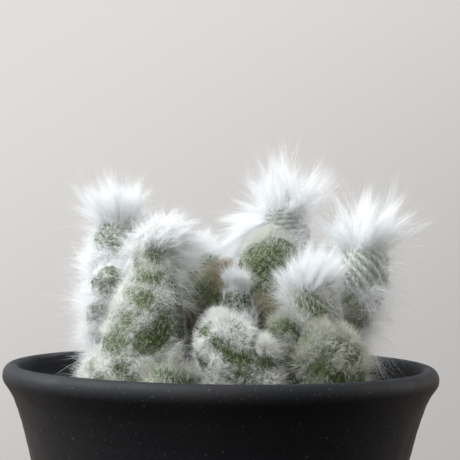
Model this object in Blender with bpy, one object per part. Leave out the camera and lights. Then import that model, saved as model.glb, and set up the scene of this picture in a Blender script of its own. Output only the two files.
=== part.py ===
"""A clump of short, woolly cactus stems growing in a turned clay pot.

The origin is the centre of the pot's foot, +Z is up and the front faces -Y. Sizes are in
millimetres and turn into metres where a mesh is made. Heights of stems count from the soil.
"""
import math

import bmesh
import bpy
import numpy as np

MM = 0.001
GAP = 0.3
SEED = 11

# Pot
POT_SIDES = 48
RIM_Z = 88.0
LIP_RADIUS = 55.0
LIP_DROP = 2.9
LIP_ANGLES = (-25, 0, 35, 65, 90)
CREST_RADIUS = 52.6
MOUTH_RADIUS = 51.0
MOUTH_DROP = 1.1
WALL = 4.0
MOUTH_FLARE = 0.25
INNER_HEIGHTS = (82.8, 73.0, 63.0, 46.0, 9.0)
FLOOR_Z = 6.0
FLOOR_ROUND = 3.0
FOOT_RADIUS = 38.0
FOOT_RING = 4.5
FOOT_RECESS = 1.5
FOOT_CHAMFER = 0.8
DRAIN_RADIUS = 6.0
# Height and outer radius of the wall, from the foot up to the underside of the lip
WALL_OUTLINE = ((0.8, 38.6), (6.0, 40.4), (16.0, 42.3), (33.0, 44.1), (50.0, 45.5), (62.0, 47.3),
                (72.0, 49.7), (79.0, 52.0), (82.8, 54.1))

# Mesh disc over the drain hole
SCREEN_RADIUS = 12.0
SCREEN_THICK = 0.8
SCREEN_SIDES = 16
SCREEN_CELL = 3.2
SCREEN_BAR = 1.6

# Soil
SOIL_Z = 74.2
SOIL_SIDES = 30
SOIL_RINGS = 4
SOIL_GRAIN = 0.55
SOIL_INSET = 0.5
HOLE_GAP = 0.35
HOLE_SIDES = 8

# Stems
SIDES_BY_RADIUS = ((7.5, 16), (4.2, 12), (0.0, 8))
RIB_HEIGHT = 0.45
RIB_START = 6.0
RIB_FADE = 8.0
DOME_SHARE = 0.9
DOME_ANGLES = (0.0, 35.0, 64.0)
RING_STEP = 7.6
FINE_STEPS = 6
AXIS_STEP = 0.5

# Spines on the green of the stems
SPINE_ROOT = 0.32
SPINE_SINK = 1.2
SPINE_LENGTH = 3.4
SPINE_SHORTEST = 0.9
SPINE_SPACING = 6.5
SPINE_LEAN = 0.35
SPINE_STRAY = 0.18
LOWEST_SPINE = 10.0
LOWEST_BRANCH_SPINE = 1.0
HIGHEST_SPINE_RISE = 75.0
HIGHEST_RISE_UNDER_CAP = 10.0

# Wool
CAP_START = 30.0
CAP_ANGLES = (30.0, 60.0)
CAP_THICK = 1.0
CAP_REACH = 2.5
LOCK_ROOT = 0.62
LOCK_SINK = 0.7
LOCK_START = 0.3
LOCK_SHORTEST = 1.2
LOCK_LIFT = 0.2
LOCK_STRAY = 0.14
LOWEST_LOCK = 0.52
HIGHEST_LOCK = 0.99

# How far needles of different nodes stay apart, and how finely their path is tested
CLEARANCE = 0.45
PROBE_STEP = 0.4
GOLDEN_ANGLE = math.pi * (3.0 - math.sqrt(5.0))

# Each stem is a group of heads that grew together. A head is a list of stations from its foot
# to its tip: x, y, height above the soil, radius. The first head of a group stands in the soil.
STEMS = {
    "stem_left_back": {
        "tall": ((-22, 4, -5, 4.6), (-22, 4, 2, 4.6), (-25, 3.2, 14, 7.2), (-27.2, 2.4, 28, 8.0),
                 (-26.8, 2.2, 39, 6.6), (-27.4, 2, 51, 5.6)),
        "side": ((-25, 0, 25, 3.6), (-26.6, -5, 30, 4.6), (-27.8, -9.5, 33.6, 4.7),
                 (-28.4, -13.2, 35.8, 4.3)),
        "bud": ((-28, -1, 20, 2.0), (-31, -4, 25, 2.6), (-32.6, -5.6, 29, 2.3)),
    },
    "stem_left_front": {
        "column": ((-16.5, -18.5, -5, 5.2), (-16.5, -18.5, 2, 5.2), (-18.2, -18.2, 10, 9.6),
                   (-18.6, -18, 19, 10.0), (-17.4, -17.6, 29, 8.0), (-16.2, -16.6, 37, 5.6),
                   (-15.8, -14.6, 42, 5.4), (-15, -12.6, 47, 4.8)),
        "base_left": ((-21, -15.5, 5, 5.6), (-25, -15.2, 8, 6.8), (-27.6, -14.8, 12, 6.4),
                      (-29, -14.6, 17, 5.0)),
        "base_front": ((-12.5, -23.5, 6, 5.6), (-12, -27.2, 8, 6.2), (-12, -28.4, 11.5, 6.3),
                       (-12.1, -28.8, 15.8, 5.6)),
    },
    "stem_front": {
        "column": ((8.2, -25, -5, 5.2), (8.2, -25, 2, 5.2), (7, -25.4, 8, 8.2),
                   (4.2, -26, 14.5, 8.3), (0.8, -26.2, 20.5, 7.2), (-1.6, -26.4, 26.5, 5.4)),
        "shoulder": ((6, -25, 10, 5.0), (7, -26.6, 15.5, 5.8), (7.4, -27, 22.2, 4.6)),
        "pointed": ((6.8, -20, 9, 3.6), (4.8, -16, 18, 4.6), (4, -14.8, 26, 4.2),
                    (3.4, -14.5, 36.4, 1.8)),
    },
    "stem_centre": {
        "dome": ((11.5, 3.4, -5, 5.4), (11.5, 3.4, 2, 5.4), (12, 3.4, 15, 7.2),
                 (12.6, 3.4, 28.4, 8.3), (12.4, 3.4, 38.4, 8.2), (11.8, 3.4, 46.2, 7.6)),
        "brown": ((6, 3, 8, 5.4), (1.8, 2.2, 15, 8.4), (0.8, 1.2, 23.5, 9.6), (0.6, 1, 31, 8.8),
                  (1, 1, 37.4, 6.0)),
        "slope": ((6.5, 0, 12, 5.0), (9, -3, 21, 5.8), (9.8, -3.6, 30.6, 4.8)),
    },
    "stem_top": {
        "tall": ((17, 18.5, -5, 4.8), (17, 18.5, 2, 4.8), (17, 18.5, 20, 6.0),
                 (16.8, 18.4, 38, 6.5), (16.8, 18, 48, 6.4), (15.9, 17.6, 56, 5.7)),
        "side": ((16.5, 18.2, 46, 3.2), (12.6, 17.4, 48.2, 3.8), (8.6, 16.6, 48.2, 3.4)),
    },
    "stem_right_front": {
        "crowned": ((20.5, -8.5, -5, 4.8), (20.5, -8.5, 2, 4.8), (21.8, -9, 12, 6.2),
                    (22.8, -10.2, 22, 7.0), (22.2, -11.4, 29, 6.7), (20.8, -12.6, 36.4, 5.6)),
        "base_front": ((23, -13, 7, 5.6), (25.4, -17.2, 9.5, 8.6), (25.6, -18, 16, 8.8),
                       (25.4, -17.8, 24.8, 7.2)),
        "lobe": ((19.5, -13.5, 8, 3.8), (16.4, -16.4, 15, 4.6), (15, -17, 20.5, 4.5),
                 (14.2, -16.8, 26.6, 3.8)),
    },
    "stem_right": {
        "tall": ((28, 4, -5, 4.6), (28, 4, 2, 4.6), (28.6, 3.6, 12, 5.0), (30.2, 2.4, 21, 5.3),
                 (33.9, 0.9, 29.5, 6.1), (36, 0, 37.4, 6.4), (35.2, 0, 45.4, 5.7)),
        "side": ((31, 0, 17, 2.8), (31.9, -4.2, 24.5, 3.2), (31.7, -6, 31.5, 2.9)),
    },
    "stem_back_middle": {
        "head": ((-5.4, 20.2, -5, 4.4), (-5.4, 20.2, 2, 4.4), (-5.6, 20.4, 18, 5.2),
                 (-6, 20.4, 34, 5.3), (-6.4, 20.2, 43, 4.8)),
    },
    "stem_back_left": {
        "head": ((-18, 18, -5, 4.4), (-18, 18, 2, 4.4), (-18.2, 18, 16, 5.9),
                 (-18.4, 18, 30, 6.2), (-18.6, 17.6, 41, 5.4)),
    },
    "stem_far_left": {
        "head": ((-29, 16, -5, 4.0), (-29, 16, 2, 4.0), (-30.4, 16.2, 13, 5.2),
                 (-31.2, 16.4, 22, 5.3), (-31.8, 16.4, 31, 4.6)),
    },
    "stem_rear_left": {
        "head": ((-11, 31.5, -5, 4.4), (-11, 31.5, 2, 4.4), (-11.8, 32, 12, 5.8),
                 (-12.4, 32.4, 20, 5.6), (-13, 32.8, 27.5, 4.8)),
    },
    "stem_rear": {
        "head": ((3, 32, -5, 4.6), (3, 32, 2, 4.6), (2.8, 32.6, 14, 6.2), (2.4, 33, 26, 6.4),
                 (2, 33, 36.5, 5.5)),
    },
    "stem_rear_right": {
        "head": ((19, 33, -5, 4.6), (19, 33, 2, 4.6), (19.2, 33.4, 15, 6.3),
                 (19.4, 33.8, 29, 6.4), (19, 34, 39.5, 5.5)),
    },
    "stem_back_right": {
        "head": ((29, 24.6, -5, 4.2), (29, 24.6, 2, 4.2), (29.3, 24.8, 14, 5.4),
                 (29.6, 25, 26, 5.5), (29.8, 25, 36, 4.8)),
    },
    "stem_far_right": {
        "head": ((31.2, 13.8, -5, 3.9), (31.2, 13.8, 2, 3.9), (31.4, 14, 11, 4.4),
                 (31.6, 14.2, 18, 4.4), (31.8, 14.2, 25, 3.8)),
    },
}

# Crown of long wool on a head: stem, head, lock length, number of locks, lean of the locks
CROWNS = {
    "wool_left_back": ("stem_left_back", "tall", 12.0, 24, (-0.25, -0.1, 0.2)),
    "wool_left_front": ("stem_left_front", "column", 12.0, 24, (0.4, -0.15, 0.05)),
    "wool_top": ("stem_top", "tall", 17.0, 30, (0.05, -0.1, 0.25)),
    "wool_top_side": ("stem_top", "side", 14.0, 18, (-0.5, -0.3, -0.7)),
    "wool_right_front": ("stem_right_front", "crowned", 9.5, 22, (0.4, 0.05, 0.3)),
    "wool_right": ("stem_right", "tall", 17.0, 30, (0.45, -0.1, 0.15)),
    "wool_back_middle": ("stem_back_middle", "head", 8.0, 14, (0.0, 0.2, 0.1)),
    "wool_back_left": ("stem_back_left", "head", 8.0, 14, (-0.1, 0.3, 0.0)),
    "wool_rear": ("stem_rear", "head", 9.0, 14, (0.0, 0.3, 0.0)),
    "wool_rear_right": ("stem_rear_right", "head", 9.0, 14, (0.1, 0.3, 0.0)),
    "wool_back_right": ("stem_back_right", "head", 8.0, 12, (0.2, 0.2, 0.0)),
    "wool_far_right": ("stem_far_right", "head", 8.0, 12, (0.4, 0.2, -0.1)),
}


def clear_scene():
    for item in list(bpy.data.objects):
        bpy.data.objects.remove(item, do_unlink=True)


def material(name, colour, roughness):
    made = bpy.data.materials.new(name)
    made.use_nodes = True
    shader = made.node_tree.nodes["Principled BSDF"]
    shader.inputs["Base Color"].default_value = (*colour, 1.0)
    shader.inputs["Roughness"].default_value = roughness
    shader.inputs["Metallic"].default_value = 0.0
    return made


def unit(vector):
    return vector / np.linalg.norm(vector)


def smooth_rows(rows, steps):
    """Rows along a smooth curve through the given rows, with so many steps between two."""
    rows = np.array(rows, dtype=float)
    padded = np.vstack([2 * rows[0] - rows[1], rows, 2 * rows[-1] - rows[-2]])
    path = []
    for index in range(len(rows) - 1):
        before, start, end, after = padded[index:index + 4]
        for step in range(steps):
            t = step / steps
            path.append(0.5 * (2 * start + (end - before) * t
                               + (2 * before - 5 * start + 4 * end - after) * t ** 2
                               + (3 * start - before - 3 * end + after) * t ** 3))
    path.append(rows[-1])
    return np.array(path)


class Head:
    """One ribbed head: a tapering round body along a curve, closed by a dome."""

    def __init__(self, stations):
        path = smooth_rows(stations, FINE_STEPS)
        self.points = path[:, :3] + (0.0, 0.0, SOIL_Z)
        self.radii = path[:, 3]
        steps = np.linalg.norm(np.diff(self.points, axis=0), axis=1)
        self.along = np.concatenate([[0.0], np.cumsum(steps)])
        self.length = self.along[-1]
        self.tip_radius = self.radii[-1]
        self.shoulder = self.length - DOME_SHARE * self.tip_radius
        left = np.minimum((self.length - self.along) / self.tip_radius, 1.0)
        self.balls = self.radii * np.sqrt(1.0 - (1.0 - left) ** 2)
        widest = self.radii.max()
        self.sides = next(sides for radius, sides in SIDES_BY_RADIUS if widest > radius)

    def centre(self, distance):
        return np.array([np.interp(distance, self.along, self.points[:, k]) for k in range(3)])

    def axis(self, distance):
        middle = min(distance, self.length - AXIS_STEP)
        return unit(self.centre(middle + AXIS_STEP) - self.centre(middle - AXIS_STEP))

    def skin(self, distance, angle, lift=0.0):
        """A point of the surface, raised by lift, and the direction out of the surface there."""
        inside = max(distance - self.shoulder, 0.0) / (self.length - self.shoulder)
        rise = math.asin(min(inside, 1.0))
        axis = self.axis(distance)
        across = unit(np.array((1.0, 0.0, 0.0)) - axis * axis[0])
        radial = math.cos(angle) * across + math.sin(angle) * np.cross(axis, across)
        radius = np.interp(distance, self.along, self.radii)
        growth = np.clip((distance - RIB_START) / RIB_FADE, 0.0, 1.0)
        rib = RIB_HEIGHT * growth * math.cos(angle * self.sides / 2)
        outward = math.cos(rise) * radial + math.sin(rise) * axis
        reach = (radius + rib * math.cos(rise)) * math.cos(rise)
        return self.centre(distance) + radial * reach + outward * lift, outward

    def at_rise(self, degrees):
        """Distance along the head where its dome has risen by so many degrees."""
        return self.shoulder + (self.length - self.shoulder) * math.sin(math.radians(degrees))

    def gap(self, points):
        """How far points lie outside the head's body, taken as a string of balls."""
        offsets = np.linalg.norm(points[:, None, :] - self.points[None, :, :], axis=2)
        return (offsets - self.balls[None, :]).min(axis=1)


HEADS = {stem: {name: Head(rows) for name, rows in heads.items()} for stem, heads in STEMS.items()}


def stem_gap(points, stem):
    return np.min([head.gap(points) for head in HEADS[stem].values()], axis=0)


def others_gap(points, stem):
    return np.min([stem_gap(points, other) for other in HEADS if other != stem], axis=0)


WALL_HEIGHTS, WALL_RADII = smooth_rows(WALL_OUTLINE, FINE_STEPS).T


def inner_radius(height):
    """The pot's inner wall, which widens into the mouth under the lip."""
    above = np.maximum(height - WALL_HEIGHTS[-1], 0.0)
    return np.interp(height, WALL_HEIGHTS, WALL_RADII) - WALL + above * MOUTH_FLARE


def free_length(root, direction, wanted, stem, plane, side):
    """The length a needle can have inside its own stem's space, clear of soil and pot."""
    distances = np.arange(PROBE_STEP, wanted + PROBE_STEP, PROBE_STEP)
    points = root + direction * distances[:, None]
    own = stem_gap(points, stem)
    clear = own + CLEARANCE < others_gap(points, stem) - cap_allowance(stem, points)
    clear &= points[:, 2] > SOIL_Z + SOIL_GRAIN + GAP
    wall = inner_radius(np.minimum(points[:, 2], RIM_Z))
    inside = np.hypot(points[:, 0], points[:, 1]) < wall - 2 * GAP
    clear &= inside | (points[:, 2] > RIM_Z + GAP)
    if plane is not None:
        centre, normal = plane
        clear &= side * ((points - centre) @ normal) > GAP / 2
    blocked = np.flatnonzero(~clear)
    return wanted if len(blocked) == 0 else distances[blocked[0]] - PROBE_STEP


def cap_allowance(stem, points):
    """Room that the woolly caps of other stems take up near these points."""
    room = np.zeros(len(points))
    for owner, name, *_ in CROWNS.values():
        if owner != stem:
            tip = HEADS[owner][name].points[-1]
            near = np.linalg.norm(points - tip, axis=1) < CAP_REACH * HEADS[owner][name].tip_radius
            room[near] = GAP + CAP_THICK
    return room


def cap_plane(head):
    """The plane between a head's woolly crown and the spines below it."""
    distance = head.at_rise(CAP_START)
    return head.centre(distance), head.axis(distance)


def add_object(name, verts, faces, slot):
    mesh = bpy.data.meshes.new(name)
    mesh.from_pydata([tuple(float(v) * MM for v in vert) for vert in verts], [], faces)
    mesh.materials.append(slot)
    made = bpy.data.objects.new(name, mesh)
    bpy.context.scene.collection.objects.link(made)
    face_outward(made)
    return made


def face_outward(item):
    work = bmesh.new()
    work.from_mesh(item.data)
    bmesh.ops.recalc_face_normals(work, faces=work.faces)
    work.to_mesh(item.data)
    work.free()


def rings_solid(rings, start_pole=None, end_pole=None):
    """Vertices and faces of a closed body through rings, ended by flat faces or by poles."""
    sides = len(rings[0])
    verts = [vert for ring in rings for vert in ring]
    faces = []
    for row in range(len(rings) - 1):
        for side in range(sides):
            after = (side + 1) % sides
            low, high = row * sides, (row + 1) * sides
            faces.append((low + side, low + after, high + after, high + side))
    for pole, row in ((start_pole, 0), (end_pole, len(rings) - 1)):
        first = row * sides
        if pole is None:
            faces.append(tuple(range(first, first + sides)))
        else:
            verts.append(pole)
            faces.extend((first + side, first + (side + 1) % sides, len(verts) - 1)
                         for side in range(sides))
    return verts, faces


def turned_ring(radius, height, sides):
    angles = 2 * math.pi * np.arange(sides) / sides
    return [(radius * math.cos(a), radius * math.sin(a), height) for a in angles]


def is_closed(mesh):
    work = bmesh.new()
    work.from_mesh(mesh)
    closed = all(len(edge.link_faces) == 2 for edge in work.edges)
    work.free()
    return closed


def join_all(item, parts, operation):
    """Joins or cuts the object with every part by one Boolean, applies it, drops the parts."""
    group = bpy.data.collections.new(item.name + "_parts")
    for part in parts:
        for holder in list(part.users_collection):
            holder.objects.unlink(part)
        group.objects.link(part)
    bpy.context.scene.collection.children.link(group)
    boolean = item.modifiers.new("join", "BOOLEAN")
    boolean.operation = operation
    boolean.operand_type = "COLLECTION"
    boolean.collection = group
    for solver in ("EXACT", "MANIFOLD"):
        boolean.solver = solver
        shape = item.evaluated_get(bpy.context.evaluated_depsgraph_get())
        mesh = bpy.data.meshes.new_from_object(shape)
        if is_closed(mesh):
            break
    item.modifiers.clear()
    item.data = mesh
    for part in parts:
        bpy.data.objects.remove(part, do_unlink=True)
    bpy.data.collections.remove(group)
    drop_scraps(item)


def drop_scraps(item):
    """Keeps the largest body of a mesh, without the loose bits that a join can leave."""
    work = bmesh.new()
    work.from_mesh(item.data)
    left = set(work.faces)
    bodies = []
    while left:
        body = set()
        edge = {left.pop()}
        while edge:
            body |= edge
            edge = {near for face in edge for side in face.edges for near in side.link_faces} & left
            left -= edge
        bodies.append(body)
    bodies.sort(key=len)
    scraps = [face for body in bodies[:-1] for face in body]
    bmesh.ops.delete(work, geom=scraps, context="FACES")
    work.to_mesh(item.data)
    work.free()


def shade_round(item, degrees=40.0):
    item.data.shade_smooth()
    item.data.set_sharp_from_angle(angle=math.radians(degrees))


def needle(name, root, direction, length, width, slot):
    """A three-sided needle that starts below the surface and ends in a point."""
    across = unit(np.cross(direction, (0.31, 0.47, 0.83)))
    beside = np.cross(direction, across)
    corners = [root + width * (math.cos(a) * across + math.sin(a) * beside)
               for a in (0.0, 2 * math.pi / 3, 4 * math.pi / 3)]
    tip = root + direction * length
    return add_object(name, corners + [tip], [(0, 2, 1), (0, 1, 3), (1, 2, 3), (2, 0, 3)], slot)


def pot_outline():
    """Radius and height of the pot's section, from the drain hole out, over the lip and back."""
    lip_z = RIM_Z - LIP_DROP
    ring = FOOT_RADIUS - FOOT_RING
    outline = [(DRAIN_RADIUS, FOOT_RECESS), (ring, FOOT_RECESS)]
    outline += [(ring + FOOT_CHAMFER, 0.0), (FOOT_RADIUS, 0.0)]
    outline += [(radius, height) for height, radius in WALL_OUTLINE]
    for degrees in LIP_ANGLES:
        turn = math.radians(degrees)
        radius = CREST_RADIUS + (LIP_RADIUS - CREST_RADIUS) * math.cos(turn)
        outline.append((radius, lip_z + LIP_DROP * math.sin(turn)))
    outline.append((MOUTH_RADIUS, RIM_Z - MOUTH_DROP))
    outline += [(inner_radius(height), height) for height in INNER_HEIGHTS]
    outline.append((inner_radius(FLOOR_Z) - FLOOR_ROUND, FLOOR_Z))
    outline.append((DRAIN_RADIUS, FLOOR_Z))
    return outline


def make_pot():
    work = bmesh.new()
    corners = [work.verts.new((radius * MM, 0.0, height * MM)) for radius, height in pot_outline()]
    edges = [work.edges.new((a, b)) for a, b in zip(corners, corners[1:] + corners[:1])]
    bmesh.ops.spin(work, geom=corners + edges, cent=(0, 0, 0), axis=(0, 0, 1),
                   angle=2 * math.pi, steps=POT_SIDES, use_merge=True)
    bmesh.ops.recalc_face_normals(work, faces=work.faces)
    mesh = bpy.data.meshes.new("pot")
    work.to_mesh(mesh)
    work.free()
    mesh.materials.append(material("charcoal_clay", (0.032, 0.032, 0.036), 0.55))
    item = bpy.data.objects.new("pot", mesh)
    bpy.context.scene.collection.objects.link(item)
    shade_round(item, 50.0)


def box_corners(x, y, half, low, high):
    square = ((x - half, y - half), (x + half, y - half), (x + half, y + half), (x - half, y + half))
    return [[(u, v, z) for u, v in square] for z in (low, high)]


def make_screen():
    slot = material("mesh_plastic", (0.05, 0.05, 0.05), 0.6)
    low = FLOOR_Z + GAP
    high = low + SCREEN_THICK
    rings = [turned_ring(SCREEN_RADIUS, z, SCREEN_SIDES) for z in (low, high)]
    item = add_object("drain_screen", *rings_solid(rings), slot)
    pitch = SCREEN_CELL + SCREEN_BAR
    cutters = []
    for column in (-1, 0, 1):
        for row in (-1, 0, 1):
            corners = box_corners(column * pitch, row * pitch, SCREEN_CELL / 2, low - 1, high + 1)
            cutters.append(add_object(f"cell_{column}_{row}", *rings_solid(corners), slot))
    join_all(item, cutters, "DIFFERENCE")


def soil_height(x, y):
    """The crumbly top of the soil, as a sum of waves that never quite repeats."""
    return SOIL_Z + SOIL_GRAIN * (0.45 * math.sin(0.83 * x + 0.6 * math.sin(0.51 * y))
                                  + 0.35 * math.sin(0.97 * y + 1.3 + 0.7 * math.sin(0.43 * x))
                                  + 0.2 * math.sin(1.9 * x - 1.7 * y))


def foot_hole(stem, slot):
    """The plain hole that a stem's foot stands in."""
    head = next(iter(HEADS[stem].values()))
    x, y, foot = head.points[0]
    radius = (head.radii[0] + HOLE_GAP) / math.cos(math.pi / HOLE_SIDES)
    rings = [[(x + u, y + v, z) for u, v, z in turned_ring(radius, height, HOLE_SIDES)]
             for height in (foot - GAP, SOIL_Z + 4 * SOIL_GRAIN)]
    return add_object("hole_" + stem, *rings_solid(rings), slot)


def make_soil():
    slot = material("potting_mix", (0.06, 0.045, 0.035), 0.95)
    bottom = FLOOR_Z + GAP
    recess = FLOOR_Z + SCREEN_THICK + 3 * GAP
    screen = SCREEN_RADIUS + 2 * GAP
    rings = [turned_ring(screen, recess, SOIL_SIDES), turned_ring(screen, bottom, SOIL_SIDES)]
    rings.append(turned_ring(inner_radius(FLOOR_Z) - FLOOR_ROUND - GAP, bottom, SOIL_SIDES))
    for height in INNER_HEIGHTS[:0:-1]:
        rings.append(turned_ring(inner_radius(height) - SOIL_INSET, height, SOIL_SIDES))
    edge = inner_radius(SOIL_Z) - SOIL_INSET
    for ring in range(SOIL_RINGS):
        flat = turned_ring(edge * (1 - (ring + 0.35) / SOIL_RINGS), 0.0, SOIL_SIDES)
        turn = 0.5 * (ring % 2) * 2 * math.pi / SOIL_SIDES
        spots = [(x * math.cos(turn) - y * math.sin(turn), x * math.sin(turn) + y * math.cos(turn))
                 for x, y, _ in flat]
        rings.append([(x, y, soil_height(x, y)) for x, y in spots])
    item = add_object("soil", *rings_solid(rings, (0, 0, recess), (0, 0, soil_height(0, 0))), slot)
    join_all(item, [foot_hole(stem, slot) for stem in STEMS], "DIFFERENCE")


def head_solid(head):
    """Vertices and faces of one head, from its flat foot to its pole."""
    count = max(2, round(head.shoulder / RING_STEP))
    distances = [head.shoulder * step / count for step in range(count)]
    distances += [head.at_rise(degrees) for degrees in DOME_ANGLES]
    turns = 2 * math.pi * np.arange(head.sides) / head.sides
    rings = [[head.skin(d, a)[0] for a in turns] for d in distances]
    return rings_solid(rings, None, head.centre(head.length))


def spine_spots(head, lowest, highest):
    """Evenly spread places on a head's skin, on a golden-angle spiral."""
    area = 2 * math.pi * head.radii.mean() * (highest - lowest)
    count = int(area / SPINE_SPACING ** 2)
    for index in range(count):
        yield lowest + (highest - lowest) * (index + 0.5) / count, index * GOLDEN_ANGLE


def is_buried(point, stem, name):
    """Whether a place on one head of a stem lies in or against another head of that stem."""
    others = [head for other, head in HEADS[stem].items() if other != name]
    return any(head.gap(point[None])[0] < GAP for head in others)


def make_spines(stem, name, head, slot, draw):
    capped = (stem, name) in {(owner, head_name) for owner, head_name, *_ in CROWNS.values()}
    plane = cap_plane(head) if capped else None
    highest = head.at_rise(HIGHEST_RISE_UNDER_CAP if capped else HIGHEST_SPINE_RISE)
    rooted = head.points[0][2] < SOIL_Z
    lowest = LOWEST_SPINE if rooted else LOWEST_BRANCH_SPINE
    spines = []
    for distance, angle in spine_spots(head, lowest, highest):
        root, outward = head.skin(distance, angle, -SPINE_SINK)
        stray = draw.uniform(-SPINE_STRAY, SPINE_STRAY, 3)
        direction = unit(outward + SPINE_LEAN * head.axis(distance) + stray)
        wanted = SPINE_LENGTH * draw.uniform(0.75, 1.2)
        start = root + direction * SPINE_SINK
        length = free_length(start, direction, wanted, stem, plane, -1.0)
        if length < SPINE_SHORTEST or is_buried(start, stem, name):
            continue
        label = f"{stem}_{name}_spine_{len(spines)}"
        spines.append(needle(label, root, direction, length + SPINE_SINK, SPINE_ROOT, slot))
    return spines


def make_stem(stem, slot, draw):
    heads = HEADS[stem]
    bodies = [add_object(f"{stem}_{name}", *head_solid(head), slot) for name, head in heads.items()]
    spines = [spine for name, head in heads.items()
              for spine in make_spines(stem, name, head, slot, draw)]
    item = bodies[0]
    item.name = stem
    join_all(item, bodies[1:] + spines, "UNION")
    shade_round(item, 60.0)


def cap_solid(head):
    """Vertices and faces of a woolly cap that lies just above a head's dome."""
    turns = 2 * math.pi * np.arange(head.sides) / head.sides
    under = [[head.skin(head.at_rise(rise), a, GAP)[0] for a in turns] for rise in CAP_ANGLES]
    over = [[head.skin(head.at_rise(rise), a, GAP + CAP_THICK)[0] for a in turns]
            for rise in CAP_ANGLES]
    tip, axis = head.centre(head.length), head.axis(head.length)
    return rings_solid(under[::-1] + over, tip + axis * GAP, tip + axis * (GAP + CAP_THICK))


def make_crown(name, slot, draw):
    stem, head_name, longest, count, lean = CROWNS[name]
    head = HEADS[stem][head_name]
    item = add_object(name, *cap_solid(head), slot)
    plane = cap_plane(head)
    locks = []
    for index in range(count):
        height = LOWEST_LOCK + (HIGHEST_LOCK - LOWEST_LOCK) * (index + 0.5) / count
        distance = head.at_rise(math.degrees(math.asin(height)))
        root, outward = head.skin(distance, index * GOLDEN_ANGLE, GAP + CAP_THICK - LOCK_SINK)
        stray = draw.uniform(-LOCK_STRAY, LOCK_STRAY, 3)
        away = unit(outward + np.array(lean) + LOCK_LIFT * head.axis(head.length) + stray)
        wanted = longest * draw.uniform(0.72, 1.0)
        start = root + away * (LOCK_SINK + LOCK_START)
        length = free_length(start, away, wanted, stem, plane, 1.0)
        if length > LOCK_SHORTEST:
            whole = length + LOCK_SINK + LOCK_START
            locks.append(needle(f"{name}_lock_{index}", root, away, whole, LOCK_ROOT, slot))
    join_all(item, locks, "UNION")
    shade_round(item, 60.0)


def build():
    clear_scene()
    draw = np.random.default_rng(SEED)
    make_pot()
    make_screen()
    make_soil()
    green = material("stem_green", (0.20, 0.27, 0.13), 0.6)
    for stem in STEMS:
        make_stem(stem, green, draw)
    white = material("white_wool", (0.85, 0.85, 0.82), 0.85)
    for crown in CROWNS:
        make_crown(crown, white, draw)


build()
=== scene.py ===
"""Looks of a clump of woolly cactus stems in a charcoal clay pot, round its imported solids.

Sizes are in millimetres and turn into metres where a mesh is made. The origin is the centre of
the pot's foot, +Z is up and the front faces -Y. Heights of stems count from the soil. Places
given in pixels are those of a square picture, 460 wide, from its top left corner.
"""
import math
from collections import namedtuple

import bpy
import numpy as np
from mathutils import Matrix, Vector


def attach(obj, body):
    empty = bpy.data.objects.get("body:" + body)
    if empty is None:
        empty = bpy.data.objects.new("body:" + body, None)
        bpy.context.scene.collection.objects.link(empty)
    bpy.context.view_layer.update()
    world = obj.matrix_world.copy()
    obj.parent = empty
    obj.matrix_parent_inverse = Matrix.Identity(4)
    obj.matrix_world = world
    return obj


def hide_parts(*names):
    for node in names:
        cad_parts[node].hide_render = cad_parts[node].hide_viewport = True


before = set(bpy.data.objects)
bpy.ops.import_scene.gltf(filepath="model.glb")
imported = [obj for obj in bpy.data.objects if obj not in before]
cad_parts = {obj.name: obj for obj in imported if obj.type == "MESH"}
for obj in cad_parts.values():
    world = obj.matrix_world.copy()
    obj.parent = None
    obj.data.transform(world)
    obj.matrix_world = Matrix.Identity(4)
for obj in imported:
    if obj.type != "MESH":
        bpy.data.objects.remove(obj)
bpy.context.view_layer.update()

MM = 0.001
SEED = 23
TINY = 1e-9
GOLDEN_ANGLE = math.pi * (3.0 - math.sqrt(5.0))

# Smooth noise: how many waves it adds up, their sizes, and the sum that counts as full
WAVE_COUNT = 7
WAVE_SIZES = (0.7, 1.4)
WAVE_SUM = 3.2

# Camera
PICTURE = 460.0
FOCAL_PIXELS = 1291.5
SENSOR = 36.0
EYE = (1.75, -330.0, 116.3)
LOOK_UP = 0.983
ROLL = 0.805
NEAREST = 10.0

# Pot, as its solid has it but turned finer
POT_SIDES = 128
RIM_Z = 88.0
LIP_RADIUS = 55.0
LIP_DROP = 2.9
LIP_ANGLES = np.arange(-35.0, 91.0, 9.0)
CREST_RADIUS = 52.6
MOUTH_RADIUS = 51.0
MOUTH_DROP = 1.1
MOUTH_ROUND = (0.7, 0.3)
WALL = 4.0
MOUTH_FLARE = 0.25
INNER_HEIGHTS = (82.8, 73.0, 63.0, 46.0, 9.0)
INNER_STEP = 2.0
FLOOR_Z = 6.0
FLOOR_ROUND = 3.0
FOOT_RADIUS = 38.0
FOOT_RING = 4.5
FOOT_RECESS = 1.5
FOOT_CHAMFER = 0.8
DRAIN_RADIUS = 6.0
DRAIN_ROUND = 0.4
WALL_OUTLINE = ((0.8, 38.6), (6.0, 40.4), (16.0, 42.3), (33.0, 44.1), (50.0, 45.5), (62.0, 47.3),
                (72.0, 49.7), (79.0, 52.0), (82.8, 54.1))
WALL_STEP = 1.0
THROWING_DEPTH = 0.07
THROWING_PITCH = 3.1
THROWING_WAVES = ((1.0, 1.0, 0.0), (0.6, 0.37, 1.7), (0.4, 1.9, 0.4))
SMOOTH_ANGLE = 50.0

# Soil and its grit
SOIL_Z = 74.2
SOIL_GRAIN = 0.55
SOIL_INSET = 0.5
SOIL_SIDES = 150
SOIL_RINGS = 44
SOIL_CRUST = 3.0
CRUMB = 0.22
SCREEN_RADIUS = 12.0
SCREEN_THICK = 0.8
GAP = 0.3
GRIT_COUNT = 1000
GRIT_SIZES = (0.35, 1.15)
GRIT_SMALL_MORE = 2.5
GRIT_DARK_MORE = 1.7
GRIT_RAISED = 0.25
GRIT_CORNERS = (0.7, 1.15)
GRIT_FLATNESS = (0.6, 1.0)

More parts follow.
